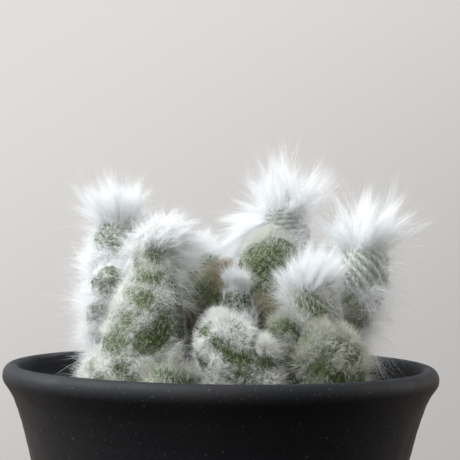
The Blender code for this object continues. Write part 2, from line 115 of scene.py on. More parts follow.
# Flesh of the stems
FINE_STEPS = 6
DOME_SHARE = 0.9
AXIS_STEP = 0.5
KNOB_PITCH = 1.35
KNOB_HEIGHT = 0.24
OLD_SHARE = 0.6
YOUNG_REACH = 14.0
BURIED = -0.9

# Each stem is a group of heads that grew together. A head is a list of stations from its foot
# to its tip: x, y, height above the soil, radius. The first head of a group stands in the soil.
STEMS = {
    "stem_left_back": {
        "tall": ((-22, 4, -5, 4.6), (-22, 4, 2, 4.6), (-25, 3.2, 14, 7.2), (-27.2, 2.4, 28, 8.0),
                 (-26.8, 2.2, 39, 6.6), (-27.4, 2, 51, 5.6)),
        "side": ((-25, 0, 25, 3.6), (-26.6, -5, 30, 4.6), (-27.8, -9.5, 33.6, 4.7),
                 (-28.4, -13.2, 35.8, 4.3)),
        "bud": ((-28, -1, 20, 2.0), (-31, -4, 25, 2.6), (-32.6, -5.6, 29, 2.3)),
    },
    "stem_left_front": {
        "column": ((-16.5, -18.5, -5, 5.2), (-16.5, -18.5, 2, 5.2), (-18.2, -18.2, 10, 9.6),
                   (-18.6, -18, 19, 10.0), (-17.4, -17.6, 29, 8.0), (-16.2, -16.6, 37, 5.6),
                   (-15.8, -14.6, 42, 5.4), (-15, -12.6, 47, 4.8)),
        "base_left": ((-21, -15.5, 5, 5.6), (-25, -15.2, 8, 6.8), (-27.6, -14.8, 12, 6.4),
                      (-29, -14.6, 17, 5.0)),
        "base_front": ((-12.5, -23.5, 6, 5.6), (-12, -27.2, 8, 6.2), (-12, -28.4, 11.5, 6.3),
                       (-12.1, -28.8, 15.8, 5.6)),
    },
    "stem_front": {
        "column": ((8.2, -25, -5, 5.2), (8.2, -25, 2, 5.2), (7, -25.4, 8, 8.2),
                   (4.2, -26, 14.5, 8.3), (0.8, -26.2, 20.5, 7.2), (-1.6, -26.4, 26.5, 5.4)),
        "shoulder": ((6, -25, 10, 5.0), (7, -26.6, 15.5, 5.8), (7.4, -27, 22.2, 4.6)),
        "pointed": ((6.8, -20, 9, 3.6), (4.8, -16, 18, 4.6), (4, -14.8, 26, 4.2),
                    (3.4, -14.5, 36.4, 1.8)),
    },
    "stem_centre": {
        "dome": ((11.5, 3.4, -5, 5.4), (11.5, 3.4, 2, 5.4), (12, 3.4, 15, 7.2),
                 (12.6, 3.4, 28.4, 8.3), (12.4, 3.4, 38.4, 8.2), (11.8, 3.4, 46.2, 7.6)),
        "brown": ((6, 3, 8, 5.4), (1.8, 2.2, 15, 8.4), (0.8, 1.2, 23.5, 9.6), (0.6, 1, 31, 8.8),
                  (1, 1, 37.4, 6.0)),
        "slope": ((6.5, 0, 12, 5.0), (9, -3, 21, 5.8), (9.8, -3.6, 30.6, 4.8)),
    },
    "stem_top": {
        "tall": ((17, 18.5, -5, 4.8), (17, 18.5, 2, 4.8), (17, 18.5, 20, 6.0),
                 (16.8, 18.4, 38, 6.5), (16.8, 18, 48, 6.4), (15.9, 17.6, 56, 5.7)),
        "side": ((16.5, 18.2, 46, 3.2), (12.6, 17.4, 48.2, 3.8), (8.6, 16.6, 48.2, 3.4)),
    },
    "stem_right_front": {
        "crowned": ((20.5, -8.5, -5, 4.8), (20.5, -8.5, 2, 4.8), (21.8, -9, 12, 6.2),
                    (22.8, -10.2, 22, 7.0), (22.2, -11.4, 29, 6.7), (20.8, -12.6, 36.4, 5.6)),
        "base_front": ((23, -13, 7, 5.6), (25.4, -17.2, 9.5, 8.6), (25.6, -18, 16, 8.8),
                       (25.4, -17.8, 24.8, 7.2)),
        "lobe": ((19.5, -13.5, 8, 3.8), (16.4, -16.4, 15, 4.6), (15, -17, 20.5, 4.5),
                 (14.2, -16.8, 26.6, 3.8)),
    },
    "stem_right": {
        "tall": ((28, 4, -5, 4.6), (28, 4, 2, 4.6), (28.6, 3.6, 12, 5.0), (30.2, 2.4, 21, 5.3),
                 (33.9, 0.9, 29.5, 6.1), (36, 0, 37.4, 6.4), (35.2, 0, 45.4, 5.7)),
        "side": ((31, 0, 17, 2.8), (31.9, -4.2, 24.5, 3.2), (31.7, -6, 31.5, 2.9)),
    },
    "stem_back_middle": {
        "head": ((-5.4, 20.2, -5, 4.4), (-5.4, 20.2, 2, 4.4), (-5.6, 20.4, 18, 5.2),
                 (-6, 20.4, 34, 5.3), (-6.4, 20.2, 43, 4.8)),
    },
    "stem_back_left": {
        "head": ((-18, 18, -5, 4.4), (-18, 18, 2, 4.4), (-18.2, 18, 16, 5.9),
                 (-18.4, 18, 30, 6.2), (-18.6, 17.6, 41, 5.4)),
    },
    "stem_far_left": {
        "head": ((-29, 16, -5, 4.0), (-29, 16, 2, 4.0), (-30.4, 16.2, 13, 5.2),
                 (-31.2, 16.4, 22, 5.3), (-31.8, 16.4, 31, 4.6)),
    },
    "stem_rear_left": {
        "head": ((-11, 31.5, -5, 4.4), (-11, 31.5, 2, 4.4), (-11.8, 32, 12, 5.8),
                 (-12.4, 32.4, 20, 5.6), (-13, 32.8, 27.5, 4.8)),
    },
    "stem_rear": {
        "head": ((3, 32, -5, 4.6), (3, 32, 2, 4.6), (2.8, 32.6, 14, 6.2), (2.4, 33, 26, 6.4),
                 (2, 33, 36.5, 5.5)),
    },
    "stem_rear_right": {
        "head": ((19, 33, -5, 4.6), (19, 33, 2, 4.6), (19.2, 33.4, 15, 6.3),
                 (19.4, 33.8, 29, 6.4), (19, 34, 39.5, 5.5)),
    },
    "stem_back_right": {
        "head": ((29, 24.6, -5, 4.2), (29, 24.6, 2, 4.2), (29.3, 24.8, 14, 5.4),
                 (29.6, 25, 26, 5.5), (29.8, 25, 36, 4.8)),
    },
    "stem_far_right": {
        "head": ((31.2, 13.8, -5, 3.9), (31.2, 13.8, 2, 3.9), (31.4, 14, 11, 4.4),
                 (31.6, 14.2, 18, 4.4), (31.8, 14.2, 25, 3.8)),
    },
}

# How a head is haired: hairs lying on the flesh for each areole, their length, the way they
# are combed in degrees from the tip (None for all ways) and how far they stray from it, then
# hairs standing out for each areole, their length, how far they stray, how much of the flesh
# is felted with wool, the hair's tint from white over grey, which is painted shade on the low
# heads, to brown, and how much it leans to the tip
Coat = namedtuple("Coat", "net net_length comb comb_stray fuzz fuzz_length fuzz_stray felt tint rise",
                  defaults=(0.15,))
PLAIN_COAT = Coat(6, 2.9, None, 0, 16, 2.2, 0.5, 0.5, 0.08)
# Grey tints on the low heads paint the shade they lie in; the brown tints are the hair's own colour
COATS = {
    ("stem_left_back", "tall"): Coat(5, 4.6, 97, 34, 36, 4.8, 0.8, 0.95, 0.0),
    ("stem_left_back", "side"): Coat(7, 2.6, None, 0, 26, 3.6, 0.8, 0.9, 0.02),
    ("stem_left_back", "bud"): Coat(6, 2.2, None, 0, 26, 3.4, 0.8, 0.9, 0.02),
    ("stem_left_front", "column"): Coat(14, 1.9, None, 0, 20, 2.7, 0.7, 0.6, 0.08),
    ("stem_left_front", "base_left"): Coat(4, 2.0, None, 0, 40, 2.2, 0.4, 0.75, 0.08),
    ("stem_left_front", "base_front"): Coat(4, 2.4, None, 0, 26, 3.6, 0.3, 0.45, 0.2, 0.6),
    ("stem_front", "column"): Coat(7, 1.6, None, 0, 36, 2.1, 0.35, 0.55, 0.06),
    ("stem_front", "shoulder"): Coat(7, 1.6, None, 0, 36, 2.1, 0.35, 0.55, 0.08),
    ("stem_front", "pointed"): Coat(12, 2.4, None, 0, 26, 2.3, 0.3, 0.8, 0.0, 2.2),
    ("stem_centre", "dome"): Coat(24, 1.8, None, 0, 6, 2.2, 0.8, 0.3, 0.16),
    ("stem_centre", "brown"): Coat(5, 1.8, None, 0, 34, 1.9, 0.45, 0.3, 0.55),
    ("stem_centre", "slope"): Coat(5, 1.8, None, 0, 40, 1.9, 0.45, 0.3, 0.45),
    ("stem_top", "tall"): Coat(20, 5.8, 92, 13, 14, 3.6, 0.5, 0.95, 0.0),
    ("stem_top", "side"): Coat(14, 5.0, 0, 20, 16, 4.0, 0.5, 0.95, 0.0),
    ("stem_right_front", "crowned"): Coat(14, 5.0, 165, 22, 18, 3.2, 0.6, 0.75, 0.04),
    ("stem_right_front", "base_front"): Coat(7, 1.5, None, 0, 32, 2.1, 0.35, 0.25, 0.2),
    ("stem_right_front", "lobe"): Coat(7, 1.5, None, 0, 30, 2.1, 0.35, 0.25, 0.2),
    ("stem_right", "tall"): Coat(19, 5.8, 140, 18, 16, 4.2, 0.5, 0.6, 0.0),
    ("stem_right", "side"): Coat(8, 2.4, None, 0, 20, 2.4, 0.5, 0.4, 0.2),
}

# Patches of a head that show in the picture with less or more hair than the rest of it: x and y
# in pixels, half width, half height, share of lying hair, share of standing hair
PATCHES = {
    ("stem_left_back", "tall"): ((116, 233, 19, 21, 2.6, 0.02),),
    ("stem_left_back", "side"): ((109, 281, 12, 15, 0.9, 0.05),),
    ("stem_left_back", "bud"): ((93, 307, 5, 7, 0.7, 0.1),),
    ("stem_left_front", "column"): (
        (157, 255, 14, 8, 0.8, 0.08), (149, 278, 15, 8, 0.5, 0.06), (144, 299, 9, 9, 0.7, 0.15),
        (118, 317, 16, 10, 0.7, 0.2), (115, 342, 15, 13, 0.6, 0.15), (146, 343, 16, 14, 0.25, 0.05),
        (161, 331, 11, 19, 0.2, 0.08), (172, 306, 12, 16, 0.9, 0.9), (110, 300, 13, 34, 1.2, 2.4),
        (97, 334, 7, 20, 1.2, 2.4), (185, 315, 9, 42, 0.5, 0.15)),
    ("stem_front", "column"): (
        (203, 326, 9, 13, 0.9, 0.05), (191, 345, 5, 34, 0.6, 0.4), (215, 343, 7, 8, 0.9, 0.05),
        (231, 357, 9, 8, 0.6, 0.05), (243, 374, 10, 6, 0.8, 0.2), (204, 311, 16, 10, 1.2, 3.0)),
    ("stem_front", "shoulder"): ((236, 318, 16, 8, 1.2, 1.6), (258, 350, 14, 24, 1.1, 2.6)),
    ("stem_front", "pointed"): ((238, 303, 17, 11, 0.9, 0.05), (236, 281, 10, 12, 1.3, 3.8)),
    ("stem_centre", "dome"): ((267, 262, 24, 19, 0.55, 0.03), (270, 235, 34, 5, 1.3, 1.4),
                              (299, 245, 7, 12, 1.2, 1.8)),
    ("stem_centre", "brown"): ((205, 286, 22, 18, 0.8, 0.6),),
    ("stem_top", "tall"): ((281, 219, 18, 18, 1.5, 0.15),),
    ("stem_right", "tall"): ((361, 268, 21, 22, 1.2, 0.03), (350, 322, 9, 16, 0.5, 0.3),
                             (377, 303, 14, 24, 1.0, 1.9)),
    ("stem_right", "side"): ((343, 298, 8, 9, 0.8, 0.25),),
    ("stem_right_front", "crowned"): ((308, 297, 13, 17, 0.9, 0.1), (287, 292, 7, 20, 1.2, 2.0)),
    ("stem_right_front", "base_front"): ((299, 328, 8, 6, 0.6, 0.05), (336, 350, 33, 28, 0.8, 1.6),
                                         (318, 372, 9, 7, 0.7, 0.2)),
    ("stem_right_front", "lobe"): ((268, 333, 9, 12, 0.6, 0.1), (280, 365, 11, 18, 0.25, 0.04),
                                   (268, 315, 12, 8, 1.2, 1.6)),
}

# Long single hairs that trail from one side of a head: stem, head, number, length, lowest and
# highest root as shares of the head, the way they trail and how far they sink
Wisps = namedtuple("Wisps", "stem head count length low high way sink")
WISPS = (
    Wisps("stem_left_back", "tall", 900, 6.0, 0.3, 0.95, (-0.9, -0.25, 0.1), 0.1),
    Wisps("stem_left_front", "column", 460, 8.5, 0.66, 0.93, (0.8, -0.35, -0.1), 0.3),
    Wisps("stem_top", "tall", 140, 10.0, 0.62, 0.86, (0.95, -0.2, 0.05), 0.15),
    Wisps("stem_top", "tall", 700, 15.0, 0.8, 0.93, (-0.9, -0.25, -0.5), 0.12),
    Wisps("stem_right_front", "crowned", 160, 7.0, 0.75, 0.98, (-0.5, -0.4, 0.6), 0.0),
    Wisps("stem_right", "tall", 560, 10.5, 0.6, 0.9, (0.9, -0.2, -0.05), 0.3),
    Wisps("stem_right", "tall", 280, 15.0, 0.48, 0.64, (0.5, -0.2, -0.75), 0.12),
)

# Crown of long wool on a head: stem, head, hair length, locks, hairs, how far up the dome it
# starts in degrees, lean of the locks, how much longer they are on the side they lean to, how
# far each strays from its way, how far they sink, and the seed of its draws
Crown = namedtuple("Crown", "stem head length locks hairs start lean bias stray sink seed")
CROWNS = {
    "wool_left_back": Crown("stem_left_back", "tall", 14.0, 48, 3900, 38, (-0.2, 0.15, 0.4),
                            0.2, 0.3, 0.04, 6),
    "wool_left_front": Crown("stem_left_front", "column", 11.0, 64, 4200, -45, (0.62, -0.3, 0.12),
                             0.2, 0.42, 0.12, 2),
    "wool_top": Crown("stem_top", "tall", 15.5, 34, 2700, 22, (0.17, -0.05, 0.3),
                      0.3, 0.25, 0.03, 4),
    "wool_top_side": Crown("stem_top", "side", 14.5, 20, 2400, 10, (-0.7, -0.35, -0.8),
                           0.0, 0.1, 0.1, 1),
    "wool_right_front": Crown("stem_right_front", "crowned", 10.0, 44, 3600, 26, (0.4, 0.0, 0.5),
                              0.25, 0.2, 0.02, 5),
    "wool_right": Crown("stem_right", "tall", 17.5, 42, 3500, 32, (0.5, -0.05, 0.45),
                        0.15, 0.22, 0.06, 3),
}
# The stems that the front rows hide have crowns alike, which lean these ways
REAR_LEANS = {"back_middle": (0.0, 0.1, 0.1), "back_left": (-0.1, 0.2, 0.0),
              "rear": (0.0, 0.3, 0.0), "rear_right": (0.1, 0.3, 0.0),
              "back_right": (0.2, 0.2, 0.0), "far_right": (0.4, 0.2, -0.1)}
for where, rear_lean in REAR_LEANS.items():
    CROWNS["wool_" + where] = Crown("stem_" + where, "head", 9.5, 30, 1300, 28, rear_lean,
                                    0.0, 0.3, 0.1, 1)

# Hair: a range is a share of the usual length or width, a stray is a share of a hair's way
ROOT_DEPTH = 0.15
HAIR_TAPER = 1.6
WIDTH_RANGE = (0.6, 1.2)
HAIR_THROUGH = 0.5
TINT_STRAY = 0.06
LAY_LIFT = 0.25
AREOLE_CLEAR = 0.1
POLE_SHARE = 0.15

# Hair that lies on the flesh as a net
NET_WIDTH = 0.048
NET_LENGTHS = (0.5, 1.25)
NET_LIFT = (0.05, 0.45)
NET_ARCH = 0.16
ARCH_RANGE = (0.1, 1.0)
ARCHED_LENGTH = 2.5
NET_CURL = 0.2
NET_TILT = 0.35
NET_SPREAD = 0.5
COMBED_SPREAD = 0.12
LONG_NET = 3.5
LONG_NET_STATIONS = 4
NET_STATIONS = 3

# Fuzz that stands out from the flesh
FUZZ_WIDTH = 0.07
FUZZ_LENGTHS = (0.45, 1.2)
FUZZ_GROWTH = (0.5, 1.3)
FUZZ_BEND = 0.25
TUFT_STRAY = 0.28
SHORT_FUZZ = 2.3
SHORT_FUZZ_WIDER = 1.3
SHORT_FUZZ_STATIONS = 2
FUZZ_STATIONS = 3
LONG_FUZZ_SHARE = 0.06
LONG_FUZZ_LONGER = 1.8
CLUMP_SIZE = 3.4
CLUMP_PULL = 0.7
ROOT_SPREAD = 0.4
LEAST_STAND = 0.2

# Wisps that trail and crowns of long wool
LONG_STEPS = np.linspace(0.0, 1.0, 5)[None, :, None]
WANDER = 0.04
WISP_WIDTH = 0.055
WISP_LENGTHS = (0.4, 1.0)
WISP_TRIES = 8
WISP_FACING = 0.45
WISP_OUTWARD = 0.4
WISP_STRAY = 0.36
CROWN_WIDTH = 0.09
CROWN_TOP = 88.0
LOCK_LENGTHS = (0.55, 1.0)
LOCK_SPREAD = 0.9
LOCK_POINT = 0.93
LOCK_BEND = 0.12
LOCK_HAIR_LENGTHS = (0.65, 1.0)
LOCK_HAIR_STRAY = 0.03
LOCK_HAIR_BEND = 0.02
LOOSE_SHARE = 0.33
LOOSE_STRAY = 0.35
LOOSE_BEND = 0.2

# How strongly thick and thin places of net and fuzz differ, and how wide they are
NET_PATCHES = (0.35, 5.5)
FUZZ_PATCHES = (1.0, 3.2)
# Where a patch of the picture ends as a share of its half size, over how much of that it fades,
# and how far the flesh has to face the eye
PATCH_EDGE = 1.2
PATCH_FADE = 0.4
FACING_EYE = -0.45

# Colours, as stops of a ramp from 0 to 1, where a single number is a grey, or alone
CLAY_COLOURS = ((0.3, (0.008, 0.0088, 0.0108)), (0.7, (0.014, 0.015, 0.0175)))
CLAY_BREATH = (0.032, 0.024, 0.019)
CLAY_GROG = (0.075, 0.074, 0.072)
SOIL_COLOURS = ((0.32, (0.012, 0.009, 0.007)), (0.55, (0.045, 0.031, 0.021)),
                (0.75, (0.10, 0.075, 0.05)))
GRIT_COLOURS = ((0.0, (0.02, 0.015, 0.011)), (0.45, (0.07, 0.05, 0.035)), (0.75, (0.17, 0.13, 0.10)),
                (0.95, (0.45, 0.42, 0.38)))
SCREEN_COLOURS = ((0.3, (0.016, 0.017, 0.016)), (0.7, (0.03, 0.031, 0.03)))
# The wool runs from white over grey, which is painted shade for the low heads, to its own brown
WOOL_AND_SHADE_COLOURS = ((0.0, (0.95, 0.96, 0.98)), (0.12, (0.78, 0.78, 0.71)), (0.3, (0.43, 0.43, 0.37)),
                (0.5, (0.42, 0.36, 0.25)), (1.0, (0.25, 0.19, 0.11)))
# The darkest green of the flesh is painted shade between its knobs
FLESH_AND_SHADE_COLOURS = ((0.0, (0.024, 0.038, 0.01)), (0.35, (0.07, 0.105, 0.027)), (0.6, (0.125, 0.18, 0.052)),
                 (1.0, (0.54, 0.64, 0.39)))
FLOOR_COLOURS = ((0.3, (0.40, 0.392, 0.385)), (0.7, (0.43, 0.422, 0.415)))

# Light: place, size, power and colour of each soft lamp, all aimed at the middle of the clump
LAMP_AIM = (0.0, 0.0, 105.0)
LAMPS = {
    "bounce": ((760.0, 160.0, 330.0), 520.0, 3.2, (1.0, 0.96, 0.91)),
    "window": ((-820.0, 130.0, 560.0), 620.0, 8.0, (0.92, 0.96, 1.0)),
    "sky": ((-450.0, -220.0, 950.0), 600.0, 13.4, (0.94, 0.97, 1.0)),
    "fill": ((-300.0, -900.0, 600.0), 700.0, 4.5, (1.0, 0.99, 0.97)),
}
AWAY = (0.0, 1.0, 0.0)
UP = (0.0, 0.0, 1.0)
# Room light falls from this side, from its darkest to its brightest strength, with the light
# of the backdrop behind the object added
ROOM_SIDE = (-0.6, 0.1, 0.75)
ROOM_RANGE = (0.03, 0.5)
ROOM_SPAN = (-0.4, 0.95)
BEHIND_RANGE = (0.0, 0.6)
BEHIND_SPAN = (0.2, 0.8)
ROOM_HEIGHTS = (-0.1, 0.4)
ROOM_LOW_COLOUR = (1.0, 0.84, 0.76)
ROOM_HIGH_COLOUR = (0.86, 0.93, 1.0)
# The backdrop that the eye sees is painted brighter towards the upper left, as a wall lit from there,
# and it lights nothing
BACKDROP_SLOPE = (-0.55, 0.0, 0.9)
BACKDROP_SPAN = (-0.3, 0.3)
BACKDROP_RANGE = (0.48, 0.76)
BACKDROP_COLOUR = (1.0, 0.972, 0.95)

# Floor
FLOOR_RADIUS = 370.0
FLOOR_CLEAR = 230.0
FLOOR_SIDES = 96
FLOOR_RINGS = 8
FLOOR_Z_BELOW = -0.1


def unit(vectors):
    lengths = np.linalg.norm(vectors, axis=-1, keepdims=True)
    return vectors / np.maximum(lengths, TINY)


def smooth_rows(rows, steps):
    """Rows along a smooth curve through the given rows, with so many steps between two."""
    rows = np.array(rows, dtype=float)
    padded = np.vstack([2 * rows[0] - rows[1], rows, 2 * rows[-1] - rows[-2]])
    path = []
    for index in range(len(rows) - 1):
        before, start, end, after = padded[index:index + 4]
        for step in range(steps):
            t = step / steps
            path.append(0.5 * (2 * start + (end - before) * t
                               + (2 * before - 5 * start + 4 * end - after) * t ** 2
                               + (3 * start - before - 3 * end + after) * t ** 3))
    path.append(rows[-1])
    return np.array(path)


def waves(points, size, seed):
    """Smooth noise from -1 to 1 at points, with swells about as wide as size."""
    draw = np.random.default_rng(seed)
    ways = unit(draw.normal(size=(WAVE_COUNT, 3))) * (math.pi / size)
    ways *= draw.uniform(*WAVE_SIZES, (WAVE_COUNT, 1))
    phases = draw.uniform(0, 2 * math.pi, WAVE_COUNT)
    return np.clip(np.sin(points @ ways.T + phases).sum(axis=-1) / WAVE_SUM, -1, 1)


class Head:
    """One head: a tapering round body along a curve, closed by a dome. It works on arrays."""

    def __init__(self, stations):
        path = smooth_rows(stations, FINE_STEPS)
        self.points = path[:, :3] + (0.0, 0.0, SOIL_Z)
        self.radii = path[:, 3]
        steps = np.linalg.norm(np.diff(self.points, axis=0), axis=1)
        self.along = np.concatenate([[0.0], np.cumsum(steps)])
        self.length = self.along[-1]
        self.tip_radius = self.radii[-1]
        self.shoulder = self.length - DOME_SHARE * self.tip_radius
        left = np.minimum((self.length - self.along) / self.tip_radius, 1.0)
        self.balls = self.radii * np.sqrt(1.0 - (1.0 - left) ** 2)

    def centre(self, distance):
        return np.stack([np.interp(distance, self.along, self.points[:, k]) for k in range(3)], -1)

    def axis(self, distance):
        middle = np.minimum(distance, self.length - AXIS_STEP)
        return unit(self.centre(middle + AXIS_STEP) - self.centre(middle - AXIS_STEP))

    def rise(self, distance):
        """How far the dome has risen at this distance, in radians."""
        inside = (distance - self.shoulder) / (self.length - self.shoulder)
        return np.arcsin(np.clip(inside, 0.0, 1.0))

    def at_rise(self, degrees):
        return self.shoulder + (self.length - self.shoulder) * np.sin(np.radians(degrees))

    def girth_radius(self, distance):
        return np.interp(distance, self.along, self.radii) * np.cos(self.rise(distance))

    def skin(self, distance, angle, lift=0.0):
        """Points of the surface, raised by lift, and the directions out of the surface there."""
        axis = self.axis(distance)
        across = unit(np.array((1.0, 0.0, 0.0)) - axis * axis[..., :1])
        beside = np.cross(axis, across)
        radial = np.cos(angle)[..., None] * across + np.sin(angle)[..., None] * beside
        rise = self.rise(distance)[..., None]
        outward = np.cos(rise) * radial + np.sin(rise) * axis
        lifted = outward * np.asarray(lift)[..., None]
        return self.centre(distance) + radial * self.girth_radius(distance)[..., None] + lifted, outward

    def gap(self, points):
        """How far points lie outside the head's body, taken as a string of balls."""
        offsets = np.linalg.norm(points[:, None, :] - self.points[None, :, :], axis=2)
        return (offsets - self.balls[None, :]).min(axis=1)


HEADS = {(stem, name): Head(rows) for stem, heads in STEMS.items() for name, rows in heads.items()}
CROWNED = {(crown.stem, crown.head) for crown in CROWNS.values()}
for head_key in HEADS:
    COATS.setdefault(head_key, PLAIN_COAT)


def others_gap(points, stem, name, same_stem):
    """How far points lie outside the other heads of one stem, or of all stems."""
    others = [head for key, head in HEADS.items()
              if key != (stem, name) and (key[0] == stem or not same_stem)]
    if not others:
        return np.full(len(points), np.inf)
    return np.min([head.gap(points) for head in others], axis=0)


WALL_HEIGHTS, WALL_RADII = smooth_rows(WALL_OUTLINE, FINE_STEPS).T


def inner_radius(height):
    """The pot's inner wall, which widens into the mouth under the lip."""
    above = np.maximum(height - WALL_HEIGHTS[-1], 0.0)
    return np.interp(height, WALL_HEIGHTS, WALL_RADII) - WALL + above * MOUTH_FLARE


def camera_turn():
    tilt = Matrix.Rotation(math.radians(90.0 + LOOK_UP), 3, "X")
    return tilt @ Matrix.Rotation(math.radians(ROLL), 3, "Z")


def picture_spot(points):
    """Where points show in the picture, in pixels from its top left corner."""
    local = (points - np.array(EYE)) @ np.array(camera_turn())
    return PICTURE / 2 + FOCAL_PIXELS * local[:, :2] / -local[:, 2:] * (1.0, -1.0)


def add_mesh(name, verts, triangles, slot):
    mesh = bpy.data.meshes.new(name)
    mesh.vertices.add(len(verts))
    mesh.vertices.foreach_set("co", (np.asarray(verts) * MM).astype(np.float32).ravel())
    corners = np.asarray(triangles, dtype=np.int32)
    mesh.loops.add(corners.size)
    mesh.loops.foreach_set("vertex_index", corners.ravel())
    mesh.polygons.add(len(corners))
    mesh.polygons.foreach_set("loop_start", np.arange(0, corners.size, 3, dtype=np.int32))
    mesh.update(calc_edges=True)
    mesh.materials.append(slot)
    item = bpy.data.objects.new(name, mesh)
    bpy.context.scene.collection.objects.link(item)
    return item


def add_values(item, name, values):
    """Stores one number for each vertex, which the materials read by this name."""
    layer = item.data.attributes.new(name, "FLOAT", "POINT")
    layer.data.foreach_set("value", np.asarray(values, dtype=np.float32))


def place(item, slot, *nodes):
    """Puts a piece on the part's one body, in the place of CAD nodes."""
    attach(item, "root")
    if nodes:
        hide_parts(*nodes)


class Nodes:
    """The shader nodes of a material or of the world, under construction."""

    def __init__(self, owner):
        owner.use_nodes = True
        self.tree = owner.node_tree
        self.nodes = owner.node_tree.nodes

    def add(self, kind, **values):
        node = self.nodes.new(kind)
        for name, value in values.items():
            setattr(node, name, value)
        return node

    def feed(self, target, value):
        """Links a socket to a source, or gives it a number or a colour."""
        if isinstance(value, bpy.types.NodeSocket):
            self.tree.links.new(value, target)
        else:
            target.default_value = (*value, 1.0) if isinstance(value, tuple) else value

    def mix(self, factor, first, second, blend="MIX"):
        mix = self.add("ShaderNodeMix", data_type="RGBA", blend_type=blend)
        for socket, value in ((0, factor), (6, first), (7, second)):
            self.feed(mix.inputs[socket], value)
        return mix.outputs[2]

    def show(self, share, first, second, output):
        """Shows the first shader, and a share of the second in its place."""
        mix = self.add("ShaderNodeMixShader")
        for socket, value in enumerate((share, first, second)):
            self.feed(mix.inputs[socket], value)
        self.feed(self.nodes[output].inputs["Surface"], mix.outputs["Shader"])

    def map_range(self, source, from_range, to_range):
        """Turns the values of one range smoothly into those of another."""
        node = self.add("ShaderNodeMapRange", interpolation_type="SMOOTHSTEP")
        names = ("Value", "From Min", "From Max", "To Min", "To Max")
        for name, value in zip(names, (source, *from_range, *to_range)):
            self.feed(node.inputs[name], value)
        return node.outputs["Result"]

    def along_way(self, spot, way):
        """How far a direction of the room points along a way."""
        node = self.add("ShaderNodeVectorMath", operation="DOT_PRODUCT")
        self.feed(node.inputs[0], spot)
        node.inputs[1].default_value = way
        return node.outputs["Value"]


class Shading(Nodes):
    """A node material under construction."""

    def __init__(self, name):
        self.made = bpy.data.materials.new(name)
        super().__init__(self.made)
        self.shader = self.nodes["Principled BSDF"]

    def noise(self, scale, detail=4.0, roughness=0.55):
        noise = self.add("ShaderNodeTexNoise")
        for name, value in (("Scale", scale), ("Detail", detail), ("Roughness", roughness),
                            ("Vector", self.add("ShaderNodeTexCoord").outputs["Object"])):
            self.feed(noise.inputs[name], value)
        return noise.outputs["Fac"]

    def value(self, name):
        return self.add("ShaderNodeAttribute", attribute_name=name).outputs["Fac"]

    def ramp(self, source, stops):
        ramp = self.add("ShaderNodeValToRGB")
        elements = ramp.color_ramp.elements
        for index, (spot, colour) in enumerate(stops):
            element = elements[index] if index < 2 else elements.new(spot)
            element.position = spot
            element.color = (*(colour if isinstance(colour, tuple) else 3 * (colour,)), 1.0)
        self.feed(ramp.inputs["Fac"], source)
        return ramp.outputs["Color"]

    def clouds(self, stops, scale, detail=4.0, roughness=0.55):
        return self.ramp(self.noise(scale, detail, roughness), stops)

    def bump(self, source, strength, distance):
        bump = self.add("ShaderNodeBump")
        for name, value in (("Strength", strength), ("Distance", distance), ("Height", source)):
            self.feed(bump.inputs[name], value)
        self.feed(self.shader.inputs["Normal"], bump.outputs["Normal"])

    def let_light_through(self, colour, share):
        """Lets a share of the light that falls on thin hair shine out on its other side."""
        through = self.add("ShaderNodeBsdfTranslucent")
        self.feed(through.inputs["Color"], colour)
        self.show(share, self.shader.outputs["BSDF"], through.outputs["BSDF"], "Material Output")

    def finish(self, colour, roughness, specular):
        for name, value in (("Base Color", colour), ("Specular IOR Level", specular),
                            ("Roughness", roughness)):
            self.feed(self.shader.inputs[name], value)
        return self.made


def clay_material():
    """Matte charcoal clay with cloudy colour, brown breath and fine pale grog."""
    shading = Shading("charcoal_clay_fired")
    cloud = shading.clouds(CLAY_COLOURS, scale=22.0)
    brown = shading.clouds(((0.5, 0.0), (0.75, 0.35)), scale=38.0, detail=5.0)
    warmed = shading.mix(brown, cloud, CLAY_BREATH)
    grog = shading.clouds(((0.66, 0.0), (0.74, 1.0)), scale=1500.0, detail=2.0)
    colour = shading.mix(grog, warmed, CLAY_GROG)
    shading.bump(shading.noise(scale=900.0, detail=5.0, roughness=0.7), strength=0.35, distance=0.0002)
    rough = shading.clouds(((0.3, 0.56), (0.7, 0.7)), scale=120.0)
    return shading.finish(colour, rough, specular=0.2)


def soil_material():
    shading = Shading("potting_mix_crumbs")
    colour = shading.clouds(SOIL_COLOURS, scale=420.0, detail=6.0)
    shading.bump(shading.noise(scale=900.0, detail=6.0, roughness=0.7), strength=0.8, distance=0.0006)
    return shading.finish(colour, roughness=0.95, specular=0.2)


def grit_material():
    """Stones that run from black bark over brown to pale pumice, by each stone's own number."""
    shading = Shading("potting_mix_grit")
    tone = shading.ramp(shading.value("tone"), GRIT_COLOURS)
    grain = shading.clouds(((0.3, 0.55), (0.7, 1.0)), scale=1300.0, detail=5.0)
    colour = shading.mix(1.0, tone, grain, "MULTIPLY")
    shading.bump(shading.noise(scale=1600.0, detail=5.0), strength=0.6, distance=0.0003)
    return shading.finish(colour, roughness=0.9, specular=0.25)


def screen_material():
    shading = Shading("mesh_plastic_moulded")
    colour = shading.clouds(SCREEN_COLOURS, scale=300.0)
    shading.bump(shading.noise(scale=1200.0), strength=0.3, distance=0.0001)
    return shading.finish(colour, roughness=0.5, specular=0.5)


def wool_and_shade_colour(shading):
    """From white over grey, which paints shade on the low heads, to brown, by the tint of a hair or
    spot of flesh.
    """
    return shading.ramp(shading.value("tint"), WOOL_AND_SHADE_COLOURS)


